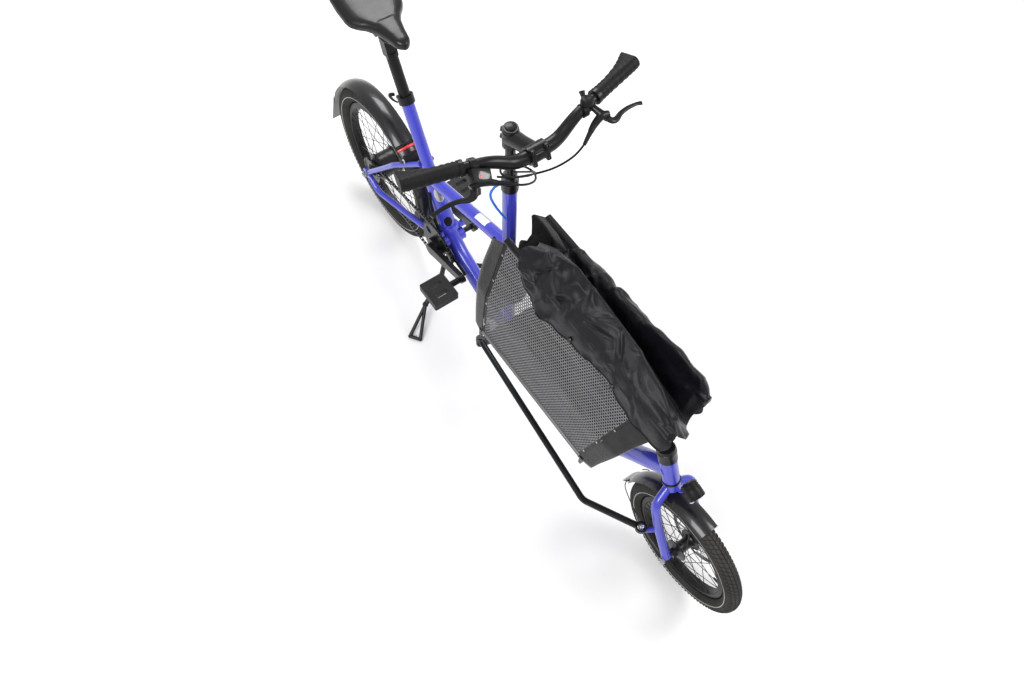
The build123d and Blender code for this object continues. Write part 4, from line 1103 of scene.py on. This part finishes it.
def clamp_lever():
    """The seat clamp's quick-release lever and its nut."""
    bend = ((139, -17, 696), (136, -27, 698), (146, -33, 701), (163, -34, 706), (178, -31, 710))
    line, radii = smooth_line([at(*place) for place in bend]), [0.0055, 0.006, 0.005, 0.0045, 0.0035]
    lever = sweep("lever", line, radii, BLACK, 14, flat=(1, 0.6))
    nut = lathe("nut", at(141, 16, 688), Y, [(0, 6), (5, 6), (6, 4), (6, 0)], BLACK, 20)
    mounted(joined("seat_clamp_lever", [lever, nut]), "frame")


def tube_patch(name, tube, radius, middle, turn, half_along, half_round, material, oval=True, lift=0.4):
    """A thin plate on a round tube; turn is its angle from straight up, in degrees, the rest millimetres."""
    start, end = tube
    along = (end - start).normalized()
    side = along.cross(Y).normalized()
    side = side if side.z > 0 else -side
    rows = 15
    verts = []
    for v in np.linspace(-1, 1, rows):
        wide = math.sqrt(max(0.02, 1 - v * v)) if oval else 1
        for u in np.linspace(-1, 1, rows):
            a = math.radians(turn) + half_round * wide * u / radius
            out = side * math.cos(a) - Y * math.sin(a)
            verts.append(start + (along * (middle + half_along * v) + out * (radius + lift)) / 1000)
    mounted(thicken(mesh_piece(name, verts, net(rows, rows, around=False), material), 0.0006), "frame")


def frame_marks():
    """Bare badge, socket cover, label and the flange where the main tube is bolted together."""
    seat, bend = at(165, 0, 705), at(380, 0, 281)
    upper = (at(262, 0, 470), at(664, 0, 602))
    tube_patch("seat_tube_badge", (seat, bend), 24, 296, 12, 25, 15, STEEL)
    tube_patch("socket_cover", (seat, bend), 24, 388, 12, 15, 12, PLASTIC, lift=1.2)
    tube_patch("upper_tube_label", upper, 18, 286, 8, 25, 11, WHITE, oval=False)
    parts = [sweep("flange", [seat.lerp(bend, 0.862), seat.lerp(bend, 0.89)], 0.031, BLUE, 40)]
    turn = frame_to(bend - seat)
    for y in (-0.036, 0.036):
        place = seat.lerp(bend, 0.876) + Y * y + X * 0.012
        parts.append(block("ear", place, (16, 20, 14), BLUE, 3, turn))
    joint = seat.lerp(bend, 0.862) + X * 0.014
    bolts = [bolt(joint + Y * y, seat - bend, 5, CHAIN) for y in (-0.038, 0.038)]
    mounted(joined("tube_flange", parts), "frame")
    mounted(joined("flange_bolts", bolts), "frame")


ring_lock()
red_strip()
clamp_lever()
frame_marks()
hose(
    "rear_cable", 0.009, PLASTIC, "frame", "taut",
    (300, -25, 452), (318, -34, 410), (352, -36, 352), (386, -33, 306), (430, -31, 278), (483, -28, 262),
)


# Light, floor and camera
SOFTBOXES = (((0.8, -2.4, 3.4), 1.8, 105), ((-2.4, 1.0, 3.2), 1.6, 70), ((1.6, 2.4, 2.8), 1.6, 60))


def studio():
    """A pale floor under three softboxes; the camera sees white behind it."""
    ground, tree, shader = material_base("pale_floor", 0.55)
    tone = add_texture(tree, "ShaderNodeTexNoise", 3, Detail=2.0)
    vary(tree, shader, tone.outputs["Fac"], "Base Color", (0.86, 0.86, 0.86), (0.88, 0.88, 0.88))
    half = 12
    corners = [(-half, -half, 0), (half, -half, 0), (half, half, 0), (-half, half, 0)]
    floor = mesh_piece("floor", corners, [(0, 1, 2, 3)], ground)
    floor.location.z = -0.0005
    world = bpy.data.worlds.new("studio")
    world.use_nodes = True
    bpy.context.scene.world = world
    tree = world.node_tree
    soft = tree.nodes["Background"]
    soft.inputs["Color"].default_value = (1, 1, 1, 1)
    soft.inputs["Strength"].default_value = 0.62
    seen = tree.nodes.new("ShaderNodeBackground")
    seen.inputs["Color"].default_value = (1, 1, 1, 1)
    seen.inputs["Strength"].default_value = 1.0
    path = tree.nodes.new("ShaderNodeLightPath")
    mix = tree.nodes.new("ShaderNodeMixShader")
    tree.links.new(path.outputs["Is Camera Ray"], mix.inputs["Fac"])
    tree.links.new(soft.outputs["Background"], mix.inputs[1])
    tree.links.new(seen.outputs["Background"], mix.inputs[2])
    tree.links.new(mix.outputs["Shader"], tree.nodes["World Output"].inputs["Surface"])
    for place, size, power in SOFTBOXES:
        light = bpy.data.lights.new("softbox", "AREA")
        light.size = size
        light.energy = power
        box = bpy.data.objects.new("softbox", light)
        box.location = place
        box.rotation_euler = (Vector((0, 0, 0.4)) - Vector(place)).to_track_quat("-Z", "Y").to_euler()
        bpy.context.scene.collection.objects.link(box)
    bpy.context.scene.view_settings.view_transform = "Standard"


def camera():
    """The photograph's own place and lens, found from the wheels."""
    photo_width, focal_pixels = 1024, 892.24
    yaw, pitch, roll = math.radians(140.554), math.radians(62.405), math.radians(4.548)
    forward = Vector((math.cos(yaw) * math.cos(pitch), math.sin(yaw) * math.cos(pitch), -math.sin(pitch)))
    right = Vector((math.sin(yaw), -math.cos(yaw), 0))
    up = right.cross(forward)
    right, up = right * math.cos(roll) + up * math.sin(roll), up * math.cos(roll) - right * math.sin(roll)
    data = bpy.data.cameras.new("camera")
    data.sensor_width = 36
    data.lens = focal_pixels / photo_width * data.sensor_width
    eye = bpy.data.objects.new("camera", data)
    turn = Matrix((right, up, -forward)).transposed().to_4x4()
    eye.matrix_world = Matrix.Translation((0.96775, -0.7848, 2.4956)) @ turn
    bpy.context.scene.collection.objects.link(eye)
    bpy.context.scene.camera = eye


studio()
camera()
